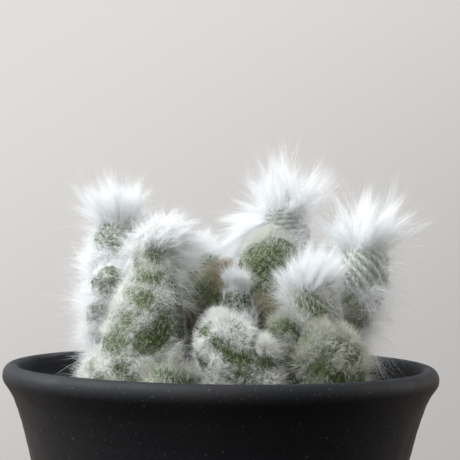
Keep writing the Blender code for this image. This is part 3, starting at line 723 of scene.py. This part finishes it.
def flesh_material():
    """Green flesh, painted dark between its knobs as shade and paler on them, felted with wool in
    places.
    """
    shading = Shading("green_flesh_knobbed")
    knob = shading.ramp(shading.value("paleness"), FLESH_AND_SHADE_COLOURS)
    cloud = shading.clouds(((0.3, 0.62), (0.7, 1.0)), scale=160.0, detail=5.0)
    green = shading.mix(1.0, knob, cloud, "MULTIPLY")
    # The wool felt is painted darker in fine strands, as the shade under the standing hair
    strands_and_shade = shading.clouds(((0.35, 0.3), (0.62, 0.95)), scale=1500.0, detail=6.0, roughness=0.7)
    felt = shading.mix(1.0, wool_and_shade_colour(shading), strands_and_shade, "MULTIPLY")
    open_places = shading.clouds(((0.35, 0.45), (0.6, 1.0)), scale=700.0)
    cover = shading.mix(1.0, shading.value("felt"), open_places, "MULTIPLY")
    shading.bump(shading.noise(scale=1500.0), strength=0.4, distance=0.0003)
    return shading.finish(shading.mix(cover, green, felt), roughness=0.6, specular=0.25)


def hair_material():
    """Hair a little uneven along its length, that lets light through."""
    shading = Shading("white_wool_hair")
    uneven = shading.clouds(((0.3, 0.95), (0.7, 1.0)), scale=900.0)
    colour = shading.mix(1.0, wool_and_shade_colour(shading), uneven, "MULTIPLY")
    shading.let_light_through(colour, HAIR_THROUGH)
    return shading.finish(colour, roughness=0.6, specular=0.25)


def pot_outline():
    """Radius and height of the pot's section, from the drain hole out, over the lip and back."""
    lip_z = RIM_Z - LIP_DROP
    ring = FOOT_RADIUS - FOOT_RING
    outline = [(DRAIN_RADIUS, FOOT_RECESS), (DRAIN_RADIUS + DRAIN_ROUND, FOOT_RECESS),
               (ring, FOOT_RECESS)]
    outline += [(ring + FOOT_CHAMFER / 2, FOOT_CHAMFER / 3), (ring + FOOT_CHAMFER, 0.0),
                (FOOT_RADIUS, 0.0)]
    heights = np.arange(WALL_HEIGHTS[0], WALL_HEIGHTS[-1], WALL_STEP)
    outline += list(zip(np.interp(heights, WALL_HEIGHTS, WALL_RADII), heights))
    for degrees in LIP_ANGLES:
        turn = math.radians(degrees)
        radius = CREST_RADIUS + (LIP_RADIUS - CREST_RADIUS) * math.cos(turn)
        outline.append((radius, lip_z + LIP_DROP * math.sin(turn)))
    outline += [(MOUTH_RADIUS + MOUTH_ROUND[0], RIM_Z - MOUTH_ROUND[1]),
                (MOUTH_RADIUS, RIM_Z - MOUTH_DROP)]
    inner = np.arange(INNER_HEIGHTS[0] + INNER_STEP, INNER_HEIGHTS[-1], -INNER_STEP)
    outline += [(float(inner_radius(height)), height) for height in inner]
    outline += [(float(inner_radius(INNER_HEIGHTS[-1])), INNER_HEIGHTS[-1])]
    outline += [(float(inner_radius(FLOOR_Z)) - FLOOR_ROUND, FLOOR_Z)]
    outline += [(DRAIN_RADIUS + DRAIN_ROUND, FLOOR_Z), (DRAIN_RADIUS, FLOOR_Z - DRAIN_ROUND)]
    return np.array(outline)


def circle(sides):
    return 2 * math.pi * np.arange(sides) / sides


def turned(radii, heights, angles):
    """Rings of points round the upright axis."""
    radii, heights, angles = np.broadcast_arrays(radii, heights, angles)
    return np.stack([radii * np.cos(angles), radii * np.sin(angles), heights], -1)


def grid_cells(rows, columns, closed):
    """Each cell's corners between rings of vertices, and whether it is an even one."""
    last = rows if closed else rows - 1
    row, column = np.meshgrid(np.arange(last), np.arange(columns), indexing="ij")
    after = (column + 1) % columns
    low, high = row * columns, (row + 1) % rows * columns
    return low + column, low + after, high + column, high + after, (row + column) % 2 == 0


def ring_triangles(rows, columns, closed):
    """Triangles between rings of vertices, numbered ring by ring."""
    low, low_after, high, high_after, _ = grid_cells(rows, columns, closed)
    pair = np.stack([np.stack([low, low_after, high_after], -1), np.stack([low, high_after, high], -1)])
    return pair.reshape(-1, 3)


def fan(first, count, middle):
    """Triangles from a ring of vertices to the one in its middle."""
    return [(first + k, first + (k + 1) % count, middle) for k in range(count)]


def make_pot(slot):
    """The turned pot, with the faint marks of the thrower's fingers on its walls."""
    outline = pot_outline()
    angles = circle(POT_SIDES)
    radius = np.repeat(outline[:, :1], POT_SIDES, axis=1)
    height = np.repeat(outline[:, 1:], POT_SIDES, axis=1)
    spiral = 2 * math.pi * height / THROWING_PITCH + angles
    marks = sum(share * np.sin(rate * spiral + shift) for share, rate, shift in THROWING_WAVES)
    on_wall = (height > FLOOR_Z) & (height < WALL_HEIGHTS[-2])
    radius = radius - on_wall * THROWING_DEPTH * (1.0 + 0.5 * marks)
    verts = turned(radius, height, angles).reshape(-1, 3)
    item = add_mesh("pot_turned", verts, ring_triangles(len(outline), POT_SIDES, True), slot)
    item.data.set_sharp_from_angle(angle=math.radians(SMOOTH_ANGLE))
    place(item, "charcoal_clay", "pot")


def soil_height(x, y):
    """The crumbly top of the soil, as a sum of waves that never quite repeats."""
    return SOIL_Z + SOIL_GRAIN * (0.45 * np.sin(0.83 * x + 0.6 * np.sin(0.51 * y))
                                  + 0.35 * np.sin(0.97 * y + 1.3 + 0.7 * np.sin(0.43 * x))
                                  + 0.2 * np.sin(1.9 * x - 1.7 * y))


def heads_gap(points):
    return np.min([head.gap(points) for head in HEADS.values()], axis=0)


def make_soil(slot, draw):
    """Soil from over the drain screen to its crumbly top, open where the stems stand in it."""
    angles = circle(SOIL_SIDES)
    bottom = FLOOR_Z + GAP
    recess = FLOOR_Z + SCREEN_THICK + 3 * GAP
    screen = SCREEN_RADIUS + 2 * GAP
    outline = [(screen / 2, recess), (screen, recess), (screen, bottom),
               (float(inner_radius(FLOOR_Z)) - FLOOR_ROUND - GAP, bottom)]
    outline += [(float(inner_radius(height)) - SOIL_INSET, height) for height in INNER_HEIGHTS[:0:-1]]
    radii, heights = np.array(outline).T
    side = turned(radii[:, None], heights[:, None], angles)
    edge = float(inner_radius(SOIL_Z)) - SOIL_INSET
    top = turned(edge * (1 - np.arange(SOIL_RINGS) / SOIL_RINGS)[:, None], 0.0, angles)
    top[..., 2] = soil_height(top[..., 0], top[..., 1]) + draw.uniform(-CRUMB, CRUMB, top.shape[:2])
    rings = np.concatenate([side, top])
    verts = rings.reshape(-1, 3)
    ends = np.array([(0, 0, recess), (0, 0, float(soil_height(0, 0)))])
    triangles = ring_triangles(len(rings), SOIL_SIDES, False)
    middle = verts[triangles].mean(axis=1)
    triangles = triangles[(middle[:, 2] < SOIL_Z - SOIL_CRUST) | (heads_gap(middle) > -GAP)]
    fans = [(after, before, end) for before, after, end in fan(0, SOIL_SIDES, len(verts))]
    fans += fan((len(rings) - 1) * SOIL_SIDES, SOIL_SIDES, len(verts) + 1)
    item = add_mesh("soil_crumbs", np.vstack([verts, ends]), np.vstack([triangles, fans]), slot)
    place(item, "potting_mix", "soil")


ICOSAHEDRON = ((0, 11, 5), (0, 5, 1), (0, 1, 7), (0, 7, 10), (0, 10, 11), (1, 5, 9), (5, 11, 4),
               (11, 10, 2), (10, 7, 6), (7, 1, 8), (3, 9, 4), (3, 4, 2), (3, 2, 6), (3, 6, 8),
               (3, 8, 9), (4, 9, 5), (2, 4, 11), (6, 2, 10), (8, 6, 7), (9, 8, 1))


def icosahedron_corners():
    golden = (1 + math.sqrt(5)) / 2
    corners = [(-1, golden, 0), (1, golden, 0), (-1, -golden, 0), (1, -golden, 0),
               (0, -1, golden), (0, 1, golden), (0, -1, -golden), (0, 1, -golden),
               (golden, 0, -1), (golden, 0, 1), (-golden, 0, -1), (-golden, 0, 1)]
    return unit(np.array(corners, dtype=float))


def make_grit(slot, draw):
    """Small stones and bark that lie on the soil, clear of the stems."""
    edge = float(inner_radius(SOIL_Z)) - GRIT_SIZES[1] - SOIL_INSET
    spread = edge * np.sqrt(draw.uniform(size=GRIT_COUNT))
    turn = draw.uniform(0, 2 * math.pi, GRIT_COUNT)
    size = draw.uniform(size=GRIT_COUNT) ** GRIT_SMALL_MORE
    size = GRIT_SIZES[0] + (GRIT_SIZES[1] - GRIT_SIZES[0]) * size
    x, y = spread * np.cos(turn), spread * np.sin(turn)
    spots = np.stack([x, y, soil_height(x, y) + GRIT_RAISED * size], -1)
    clear = heads_gap(spots) > size
    spots, size = spots[clear], size[clear]
    corners = icosahedron_corners()
    shape = corners[None] * draw.uniform(*GRIT_CORNERS, (len(spots), len(corners), 1))
    shape = shape * draw.uniform(*GRIT_FLATNESS, (len(spots), 1, 3)) * size[:, None, None]
    verts = (spots[:, None] + shape).reshape(-1, 3)
    triangles = np.array(ICOSAHEDRON)[None] + len(corners) * np.arange(len(spots))[:, None, None]
    item = add_mesh("soil_grit", verts, triangles.reshape(-1, 3), slot)
    tones = draw.uniform(size=len(spots)) ** GRIT_DARK_MORE
    add_values(item, "tone", np.repeat(tones, len(corners)))
    place(item, "potting_mix")


def knob_grid(head):
    """Distances and angles of a grid of knobs over a head, from its foot to near its pole."""
    columns = 2 * round(math.pi * head.radii.max() / KNOB_PITCH)
    rows = max(2, round(head.shoulder / KNOB_PITCH))
    dome_rows = round(math.pi / 2 * head.tip_radius / KNOB_PITCH)
    distances = np.concatenate([head.shoulder * np.arange(rows) / rows,
                                head.at_rise(90.0 * np.arange(dome_rows) / dome_rows)])
    return np.meshgrid(distances, circle(columns), indexing="ij")


def knob_signs(shape):
    row, column = np.indices(shape)
    return 1.0 - 2.0 * ((row + column) % 2)


def knob_triangles(rows, columns):
    """Triangles of the grid, split so that each knob stands alone like a small pyramid."""
    low, low_after, high, high_after, even = grid_cells(rows, columns, False)
    first = np.stack([low, low_after, np.where(even, high, high_after)], -1)
    second = np.stack([np.where(even, low_after, low), high_after, high], -1)
    return np.concatenate([first.reshape(-1, 3), second.reshape(-1, 3)])


def flesh_of_head(stem, name):
    """Vertices, triangles, paleness, felt and tint of one head, without what others hide."""
    head = HEADS[stem, name]
    distance, angle = knob_grid(head)
    signs = knob_signs(distance.shape)
    lift = KNOB_HEIGHT * signs * np.cos(head.rise(distance))
    points, outward = head.skin(distance, angle, lift)
    rows, columns = distance.shape
    cap = fan((rows - 1) * columns, columns, rows * columns)
    triangles = np.vstack([knob_triangles(rows, columns), cap])
    verts = np.vstack([points.reshape(-1, 3), head.centre(np.array([head.length]))])
    outward = np.vstack([outward.reshape(-1, 3), head.axis(np.array([head.length]))])
    hidden = others_gap(verts, stem, name, True) < BURIED
    triangles = triangles[~hidden[triangles].all(axis=1)]
    coat = COATS[stem, name]
    felt = np.clip(coat.felt * hair_amounts(stem, name, verts, outward)[1], 0.0, 1.0)
    young = np.exp((distance.ravel() - head.length) / YOUNG_REACH) * ((stem, name) in CROWNED)
    # The flesh between the knobs is painted dark as shade, and the knob tips are paler
    paleness = OLD_SHARE * (0.5 + 0.5 * signs.ravel()) + (1.0 - OLD_SHARE) * young
    paleness = np.append(paleness, paleness.max())
    values = np.stack([paleness, felt, np.full(len(verts), coat.tint)], -1)
    used, renumbered = np.unique(triangles, return_inverse=True)
    return verts[used], renumbered.reshape(-1, 3), values[used]


def joined(parts):
    """Several sets of vertices, triangles and values of the vertices as one."""
    verts, triangles, values = zip(*parts)
    starts = np.cumsum([0] + [len(some) for some in verts[:-1]])
    triangles = [some + start for some, start in zip(triangles, starts)]
    return np.vstack(verts), np.vstack(triangles), np.concatenate(values)


def make_flesh(stem, slot):
    verts, triangles, values = joined([flesh_of_head(stem, name) for name in STEMS[stem]])
    item = add_mesh(stem + "_flesh", verts, triangles, slot)
    for name, numbers in zip(("paleness", "felt", "tint"), values.T):
        add_values(item, name, numbers)
    place(item, "green_flesh", stem)


def ribbons(paths, widths, facing):
    """Vertices and triangles of flat hairs that narrow to a point."""
    count, stations, _ = paths.shape
    heading = unit(paths[:, 1:] - paths[:, :-1])
    across = unit(np.cross(heading, facing[:, None, :]))
    taper = 1.0 - (np.arange(stations - 1) / (stations - 1)) ** HAIR_TAPER
    half = (0.5 * widths[:, None] * taper)[:, :, None] * across
    edges = np.stack([paths[:, :-1] - half, paths[:, :-1] + half], axis=2)
    verts = np.concatenate([edges.reshape(count, -1, 3), paths[:, -1:]], axis=1)
    template = []
    for low in range(0, 2 * stations - 4, 2):
        template += [(low, low + 1, low + 3), (low, low + 3, low + 2)]
    last = 2 * stations - 4
    template.append((last, last + 1, last + 2))
    starts = (2 * stations - 1) * np.arange(count)
    triangles = np.array(template)[None] + starts[:, None, None]
    return verts.reshape(-1, 3), triangles.reshape(-1, 3)


def hair_part(paths, facing, width, tint, draw):
    """Ribbons along paths that are first laid clear of the heads, with a tint for each vertex."""
    widths = width * draw.uniform(*WIDTH_RANGE, len(paths))
    verts, triangles = ribbons(lay_on_heads(paths), widths, facing)
    tints = np.clip(tint + TINT_STRAY * draw.normal(size=len(paths)), 0.0, 1.0)
    return verts, triangles, np.repeat(tints, 2 * paths.shape[1] - 1)


def lay_on_heads(paths):
    """Moves every point but the roots out of any head and off the soil and the pot's wall."""
    points = paths[:, 1:].reshape(-1, 3)
    for head in HEADS.values():
        low = (head.points - head.balls[:, None]).min(axis=0) - LAY_LIFT
        high = (head.points + head.balls[:, None]).max(axis=0) + LAY_LIFT
        near = np.flatnonzero(((points > low) & (points < high)).all(axis=1))
        offsets = points[near][:, None, :] - head.points[None, :, :]
        depth = head.balls + LAY_LIFT - np.linalg.norm(offsets, axis=2)
        worst = depth.argmax(axis=1)
        push = np.maximum(depth[np.arange(len(near)), worst], 0.0)
        points[near] += unit(offsets[np.arange(len(near)), worst]) * push[:, None]
    points[:, 2] = np.maximum(points[:, 2], SOIL_Z + SOIL_GRAIN + GAP)
    spread = np.hypot(points[:, 0], points[:, 1])
    wall = inner_radius(np.minimum(points[:, 2], RIM_Z)) - GAP
    room = np.where(points[:, 2] < RIM_Z + GAP, wall, np.inf)
    points[:, :2] *= np.minimum(1.0, room / np.maximum(spread, TINY))[:, None]
    paths[:, 1:] = points.reshape(paths[:, 1:].shape)
    return paths


def hair_amounts(stem, name, points, outward):
    """How much lying and standing hair areoles have against their head's usual."""
    net = 1.0 + NET_PATCHES[0] * waves(points, NET_PATCHES[1], SEED)
    fuzz = np.maximum(1.0 + FUZZ_PATCHES[0] * waves(points, FUZZ_PATCHES[1], SEED + 1), 0.0)
    spots = picture_spot(points)
    faces_eye = (outward * unit(np.array(EYE) - points)).sum(axis=1) > FACING_EYE
    for x, y, half_width, half_height, net_share, fuzz_share in PATCHES.get((stem, name), ()):
        apart = np.hypot((spots[:, 0] - x) / half_width, (spots[:, 1] - y) / half_height)
        inside = np.clip((PATCH_EDGE - apart) / PATCH_FADE, 0.0, 1.0) * faces_eye
        net *= 1.0 + (net_share - 1.0) * inside
        fuzz *= 1.0 + (fuzz_share - 1.0) * inside
    return net, fuzz


def areoles(stem, name, draw):
    """Distances, angles and hair amounts of a head's areoles that aren't hidden."""
    head = HEADS[stem, name]
    distance, angle = knob_grid(head)
    kept = draw.uniform(size=distance.shape) < np.cos(head.rise(distance)) + POLE_SHARE
    high = (knob_signs(distance.shape) > 0) & kept
    distance, angle = distance[high], angle[high]
    points, outward = head.skin(distance, angle)
    clear = others_gap(points, stem, name, True) > AREOLE_CLEAR
    clear &= others_gap(points, stem, name, False) > GAP
    clear &= points[:, 2] > SOIL_Z + SOIL_GRAIN
    net, fuzz = hair_amounts(stem, name, points[clear], outward[clear])
    return distance[clear], angle[clear], net, fuzz


def repeated(amount, mean, draw):
    """Which areole each hair grows from, with about mean hairs for each where amount is 1."""
    counts = np.floor(amount * mean + draw.uniform(size=len(amount))).astype(int)
    return np.repeat(np.arange(len(amount)), counts)


def lying_hairs(head, coat, distance, angle, amount, draw):
    """Hairs that lie on the flesh and make a net over it."""
    owner = repeated(amount, coat.net, draw)
    count = len(owner)
    if coat.comb is None:
        spread = NET_SPREAD
        heading = draw.uniform(-math.pi, math.pi, count)
    else:
        spread = COMBED_SPREAD
        heading = np.radians(draw.normal(coat.comb, coat.comb_stray, count))
    length = coat.net_length * draw.uniform(*NET_LENGTHS, count)
    stations = LONG_NET_STATIONS if coat.net_length > LONG_NET else NET_STATIONS
    steps = np.linspace(0.0, 1.0, stations)
    turn = heading[:, None] + draw.normal(0.0, NET_CURL, (count, 1)) * steps
    run = length[:, None] * steps
    along, across = draw.normal(0.0, spread, (2, count, 1))
    path_distance = distance[owner][:, None] + along + run * np.cos(turn)
    path_distance = np.maximum(path_distance, 0.0)
    over_pole = path_distance > head.length
    path_distance = np.where(over_pole, 2.0 * head.length - path_distance, path_distance)
    girth = np.maximum(head.girth_radius(path_distance), 1.0)
    path_angle = angle[owner][:, None] + (across + run * np.sin(turn)) / girth
    path_angle += math.pi * over_pole
    arch = draw.uniform(*ARCH_RANGE, (count, 1)) * NET_ARCH * np.sqrt(length[:, None] / ARCHED_LENGTH)
    lift = draw.uniform(*NET_LIFT, (count, 1)) + arch * np.sin(math.pi * steps)
    paths, outward = head.skin(path_distance, path_angle, lift)
    return paths, unit(outward[:, 1] + draw.normal(0.0, NET_TILT, (count, 3)))


def clump_pull(points):
    """A smooth field of ways that draws neighbouring hairs together into clumps."""
    return np.stack([waves(points, CLUMP_SIZE, SEED + 2 + axis) for axis in range(3)], -1)


def standing_hairs(head, coat, distance, angle, amount, draw):
    """Short hairs that stand out from the flesh, drawn together into clumps."""
    owner = repeated(amount, coat.fuzz, draw)
    count = len(owner)
    around = draw.normal(0.0, ROOT_SPREAD, (2, count))
    spread_angle = angle[owner] + around[0] / np.maximum(head.girth_radius(distance[owner]), 1.0)
    spread_distance = np.clip(distance[owner] + around[1], 0.0, head.length)
    root, outward = head.skin(spread_distance, spread_angle, np.full(count, KNOB_HEIGHT - ROOT_DEPTH))
    tuft = TUFT_STRAY * draw.normal(size=(len(distance), 3))
    stray = coat.fuzz_stray * draw.normal(size=(count, 3))
    pull = CLUMP_PULL * clump_pull(root)
    way = unit(outward + coat.rise * head.axis(distance[owner]) + pull + tuft[owner] + stray)
    way = unit(way + np.maximum(LEAST_STAND - (way * outward).sum(axis=1), 0.0)[:, None] * outward)
    length = coat.fuzz_length * draw.uniform(*FUZZ_LENGTHS, count)
    length *= np.clip(amount[owner], *FUZZ_GROWTH)
    length *= np.where(draw.uniform(size=count) < LONG_FUZZ_SHARE, LONG_FUZZ_LONGER, 1.0)
    stations = SHORT_FUZZ_STATIONS if coat.fuzz_length < SHORT_FUZZ else FUZZ_STATIONS
    steps = np.linspace(0.0, 1.0, stations)[None, :, None]
    bend = FUZZ_BEND * draw.normal(size=(count, 1, 3))
    paths = root[:, None] + length[:, None, None] * (way[:, None] * steps + bend * steps ** 2)
    return paths, unit(draw.normal(size=(count, 3)))


def long_hairs(root, way, length, bend, sink, draw):
    """Long hairs from roots, each with its way, length, bend and how far it sinks by its tip."""
    wander = WANDER * draw.normal(size=(len(root), 1, 3)) * np.sin(math.pi * LONG_STEPS)
    fall = sink * LONG_STEPS ** 2 * np.array((0.0, 0.0, -1.0))
    paths = root[:, None] + length[:, None, None] * (way[:, None] * LONG_STEPS + wander + fall
                                                     + bend[:, None] * LONG_STEPS ** 2)
    return paths, unit(draw.normal(size=root.shape))


def trailing_hairs(wisps, draw):
    """Long single hairs from the side of a head that faces the way they trail."""
    head = HEADS[wisps.stem, wisps.head]
    distance = head.length * draw.uniform(wisps.low, wisps.high, WISP_TRIES * wisps.count)
    angle = draw.uniform(0.0, 2 * math.pi, len(distance))
    root, outward = head.skin(distance, angle)
    faces = np.flatnonzero(outward @ unit(np.array(wisps.way)) > WISP_FACING)[:wisps.count]
    root, outward = root[faces], outward[faces]
    stray = WISP_STRAY * draw.normal(size=root.shape)
    way = unit(np.array(wisps.way) + WISP_OUTWARD * outward + stray)
    length = wisps.length * draw.uniform(*WISP_LENGTHS, len(root))
    bend = LOOSE_BEND * draw.normal(size=root.shape)
    return long_hairs(root, way, length, bend, wisps.sink, draw)


def make_coat(stem, slot, draw):
    """All short hair of a stem's heads as one piece."""
    parts = []
    for name in STEMS[stem]:
        head = HEADS[stem, name]
        coat = COATS[stem, name]
        distance, angle, net, fuzz = areoles(stem, name, draw)
        paths, facing = lying_hairs(head, coat, distance, angle, net, draw)
        parts.append(hair_part(paths, facing, NET_WIDTH, coat.tint, draw))
        paths, facing = standing_hairs(head, coat, distance, angle, fuzz, draw)
        width = FUZZ_WIDTH * (SHORT_FUZZ_WIDER if coat.fuzz_length < SHORT_FUZZ else 1.0)
        parts.append(hair_part(paths, facing, width, coat.tint, draw))
    for wisps in WISPS:
        if wisps.stem == stem:
            paths, facing = trailing_hairs(wisps, draw)
            parts.append(hair_part(paths, facing, WISP_WIDTH, 0.0, draw))
    add_hair(stem + "_hair", parts, slot)


def add_hair(name, parts, slot, *nodes):
    verts, triangles, tints = joined(parts)
    item = add_mesh(name, verts, triangles, slot)
    add_values(item, "tint", tints)
    place(item, "white_wool", *nodes)


def make_crown(name, slot):
    """Long wool on a head: locks that draw to a point, with loose hairs between them."""
    crown = CROWNS[name]
    draw = np.random.default_rng(crown.seed)
    head = HEADS[crown.stem, crown.head]
    lowest, highest = np.sin(np.radians((crown.start, CROWN_TOP)))
    height = lowest + (highest - lowest) * (np.arange(crown.locks) + 0.5) / crown.locks
    distance = head.at_rise(np.degrees(np.arcsin(height)))
    lock_root, lock_out = head.skin(distance, np.arange(crown.locks) * GOLDEN_ANGLE)
    lock_way = unit(lock_out + np.array(crown.lean) + crown.stray * draw.normal(size=lock_out.shape))
    lock_length = crown.length * draw.uniform(*LOCK_LENGTHS, crown.locks)
    lock_length *= 1.0 + crown.bias * (lock_out @ unit(np.array(crown.lean)))
    lock_bend = LOCK_BEND * draw.normal(size=lock_out.shape)
    owner = draw.integers(0, crown.locks, crown.hairs)
    loose = (draw.uniform(size=crown.hairs) < LOOSE_SHARE)[:, None]
    scatter = LOCK_SPREAD * draw.normal(size=(crown.hairs, 3))
    scatter -= lock_out[owner] * (scatter * lock_out[owner]).sum(axis=1)[:, None]
    stray = np.where(loose, LOOSE_STRAY, LOCK_HAIR_STRAY) * draw.normal(size=scatter.shape)
    bend = np.where(loose, LOOSE_BEND, LOCK_HAIR_BEND) * draw.normal(size=scatter.shape)
    bend += lock_bend[owner]
    length = lock_length[owner] * draw.uniform(*LOCK_HAIR_LENGTHS, crown.hairs)
    paths, facing = long_hairs(lock_root[owner], unit(lock_way[owner] + stray), length, bend,
                               crown.sink, draw)
    paths += scatter[:, None] * (1.0 - np.where(loose, 0.0, LOCK_POINT)[:, :, None] * LONG_STEPS)
    add_hair(name + "_hair", [hair_part(paths, facing, CROWN_WIDTH, 0.0, draw)], slot, name)


def add_light(name, spot, size, power, colour):
    light = bpy.data.lights.new(name, "AREA")
    light.shape = "DISK"
    light.size = size * MM
    light.energy = power
    light.color = colour
    item = bpy.data.objects.new(name, light)
    bpy.context.scene.collection.objects.link(item)
    item.location = [value * MM for value in spot]
    item.rotation_mode = "QUATERNION"
    item.rotation_quaternion = (Vector(spot) - Vector(LAMP_AIM)).to_track_quat("Z", "Y")


def make_world():
    """A pale backdrop for the eye, and a soft room that lights the object from one side."""
    world = bpy.data.worlds.new("room")
    bpy.context.scene.world = world
    room = Nodes(world)
    spot = room.add("ShaderNodeTexCoord").outputs["Generated"]
    shine = room.nodes["Background"]
    total = room.add("ShaderNodeMath")
    room.feed(total.inputs[0], room.map_range(room.along_way(spot, ROOM_SIDE), ROOM_SPAN, ROOM_RANGE))
    room.feed(total.inputs[1], room.map_range(room.along_way(spot, AWAY), BEHIND_SPAN, BEHIND_RANGE))
    room.feed(shine.inputs["Strength"], total.outputs["Value"])
    height = room.map_range(room.along_way(spot, UP), ROOM_HEIGHTS, (0.0, 1.0))
    room.feed(shine.inputs["Color"], room.mix(height, ROOM_LOW_COLOUR, ROOM_HIGH_COLOUR))
    seen = room.add("ShaderNodeBackground")
    slope = room.along_way(spot, BACKDROP_SLOPE)
    room.feed(seen.inputs["Strength"], room.map_range(slope, BACKDROP_SPAN, BACKDROP_RANGE))
    room.feed(seen.inputs["Color"], BACKDROP_COLOUR)
    is_camera = room.add("ShaderNodeLightPath").outputs["Is Camera Ray"]
    room.show(is_camera, shine.outputs["Background"], seen.outputs["Background"], "World Output")


def make_floor():
    """A pale disc under the pot that fades out before it reaches the picture."""
    radii = np.linspace(FLOOR_RADIUS, 0.0, FLOOR_RINGS + 1)[:-1, None]
    verts = turned(radii, FLOOR_Z_BELOW, circle(FLOOR_SIDES)).reshape(-1, 3)
    middle = fan(len(verts) - FLOOR_SIDES, FLOOR_SIDES, len(verts))
    verts = np.vstack([verts, [(0.0, 0.0, FLOOR_Z_BELOW)]])
    triangles = np.vstack([ring_triangles(FLOOR_RINGS, FLOOR_SIDES, False), middle])
    shading = Shading("pale_floor")
    length = shading.add("ShaderNodeVectorMath", operation="LENGTH")
    shading.feed(length.inputs[0], shading.add("ShaderNodeTexCoord").outputs["Object"])
    fade = shading.map_range(length.outputs["Value"], (FLOOR_CLEAR * MM, FLOOR_RADIUS * MM), (1.0, 0.0))
    shading.feed(shading.shader.inputs["Alpha"], fade)
    grain = shading.clouds(FLOOR_COLOURS, scale=60.0)
    floor = add_mesh("floor", verts, triangles, shading.finish(grain, roughness=0.8, specular=0.2))
    floor.visible_diffuse = False
    floor.visible_glossy = False


def make_camera():
    lens = bpy.data.cameras.new("camera")
    lens.sensor_width = SENSOR
    lens.lens = FOCAL_PIXELS / PICTURE * SENSOR
    lens.clip_start = NEAREST * MM
    camera = bpy.data.objects.new("camera", lens)
    bpy.context.scene.collection.objects.link(camera)
    camera.matrix_world = Matrix.Translation([value * MM for value in EYE]) @ camera_turn().to_4x4()
    bpy.context.scene.camera = camera


def build():
    draw = np.random.default_rng(SEED)
    make_pot(clay_material())
    make_soil(soil_material(), draw)
    make_grit(grit_material(), draw)
    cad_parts["drain_screen"].material_slots[0].material = screen_material()
    flesh = flesh_material()
    hair = hair_material()
    for stem in STEMS:
        make_flesh(stem, flesh)
        make_coat(stem, hair, draw)
    for crown in CROWNS:
        make_crown(crown, hair)
    make_floor()
    make_world()
    for name, lamp in LAMPS.items():
        add_light(name, *lamp)
    make_camera()
    bpy.context.scene.view_settings.view_transform = "Standard"


build()
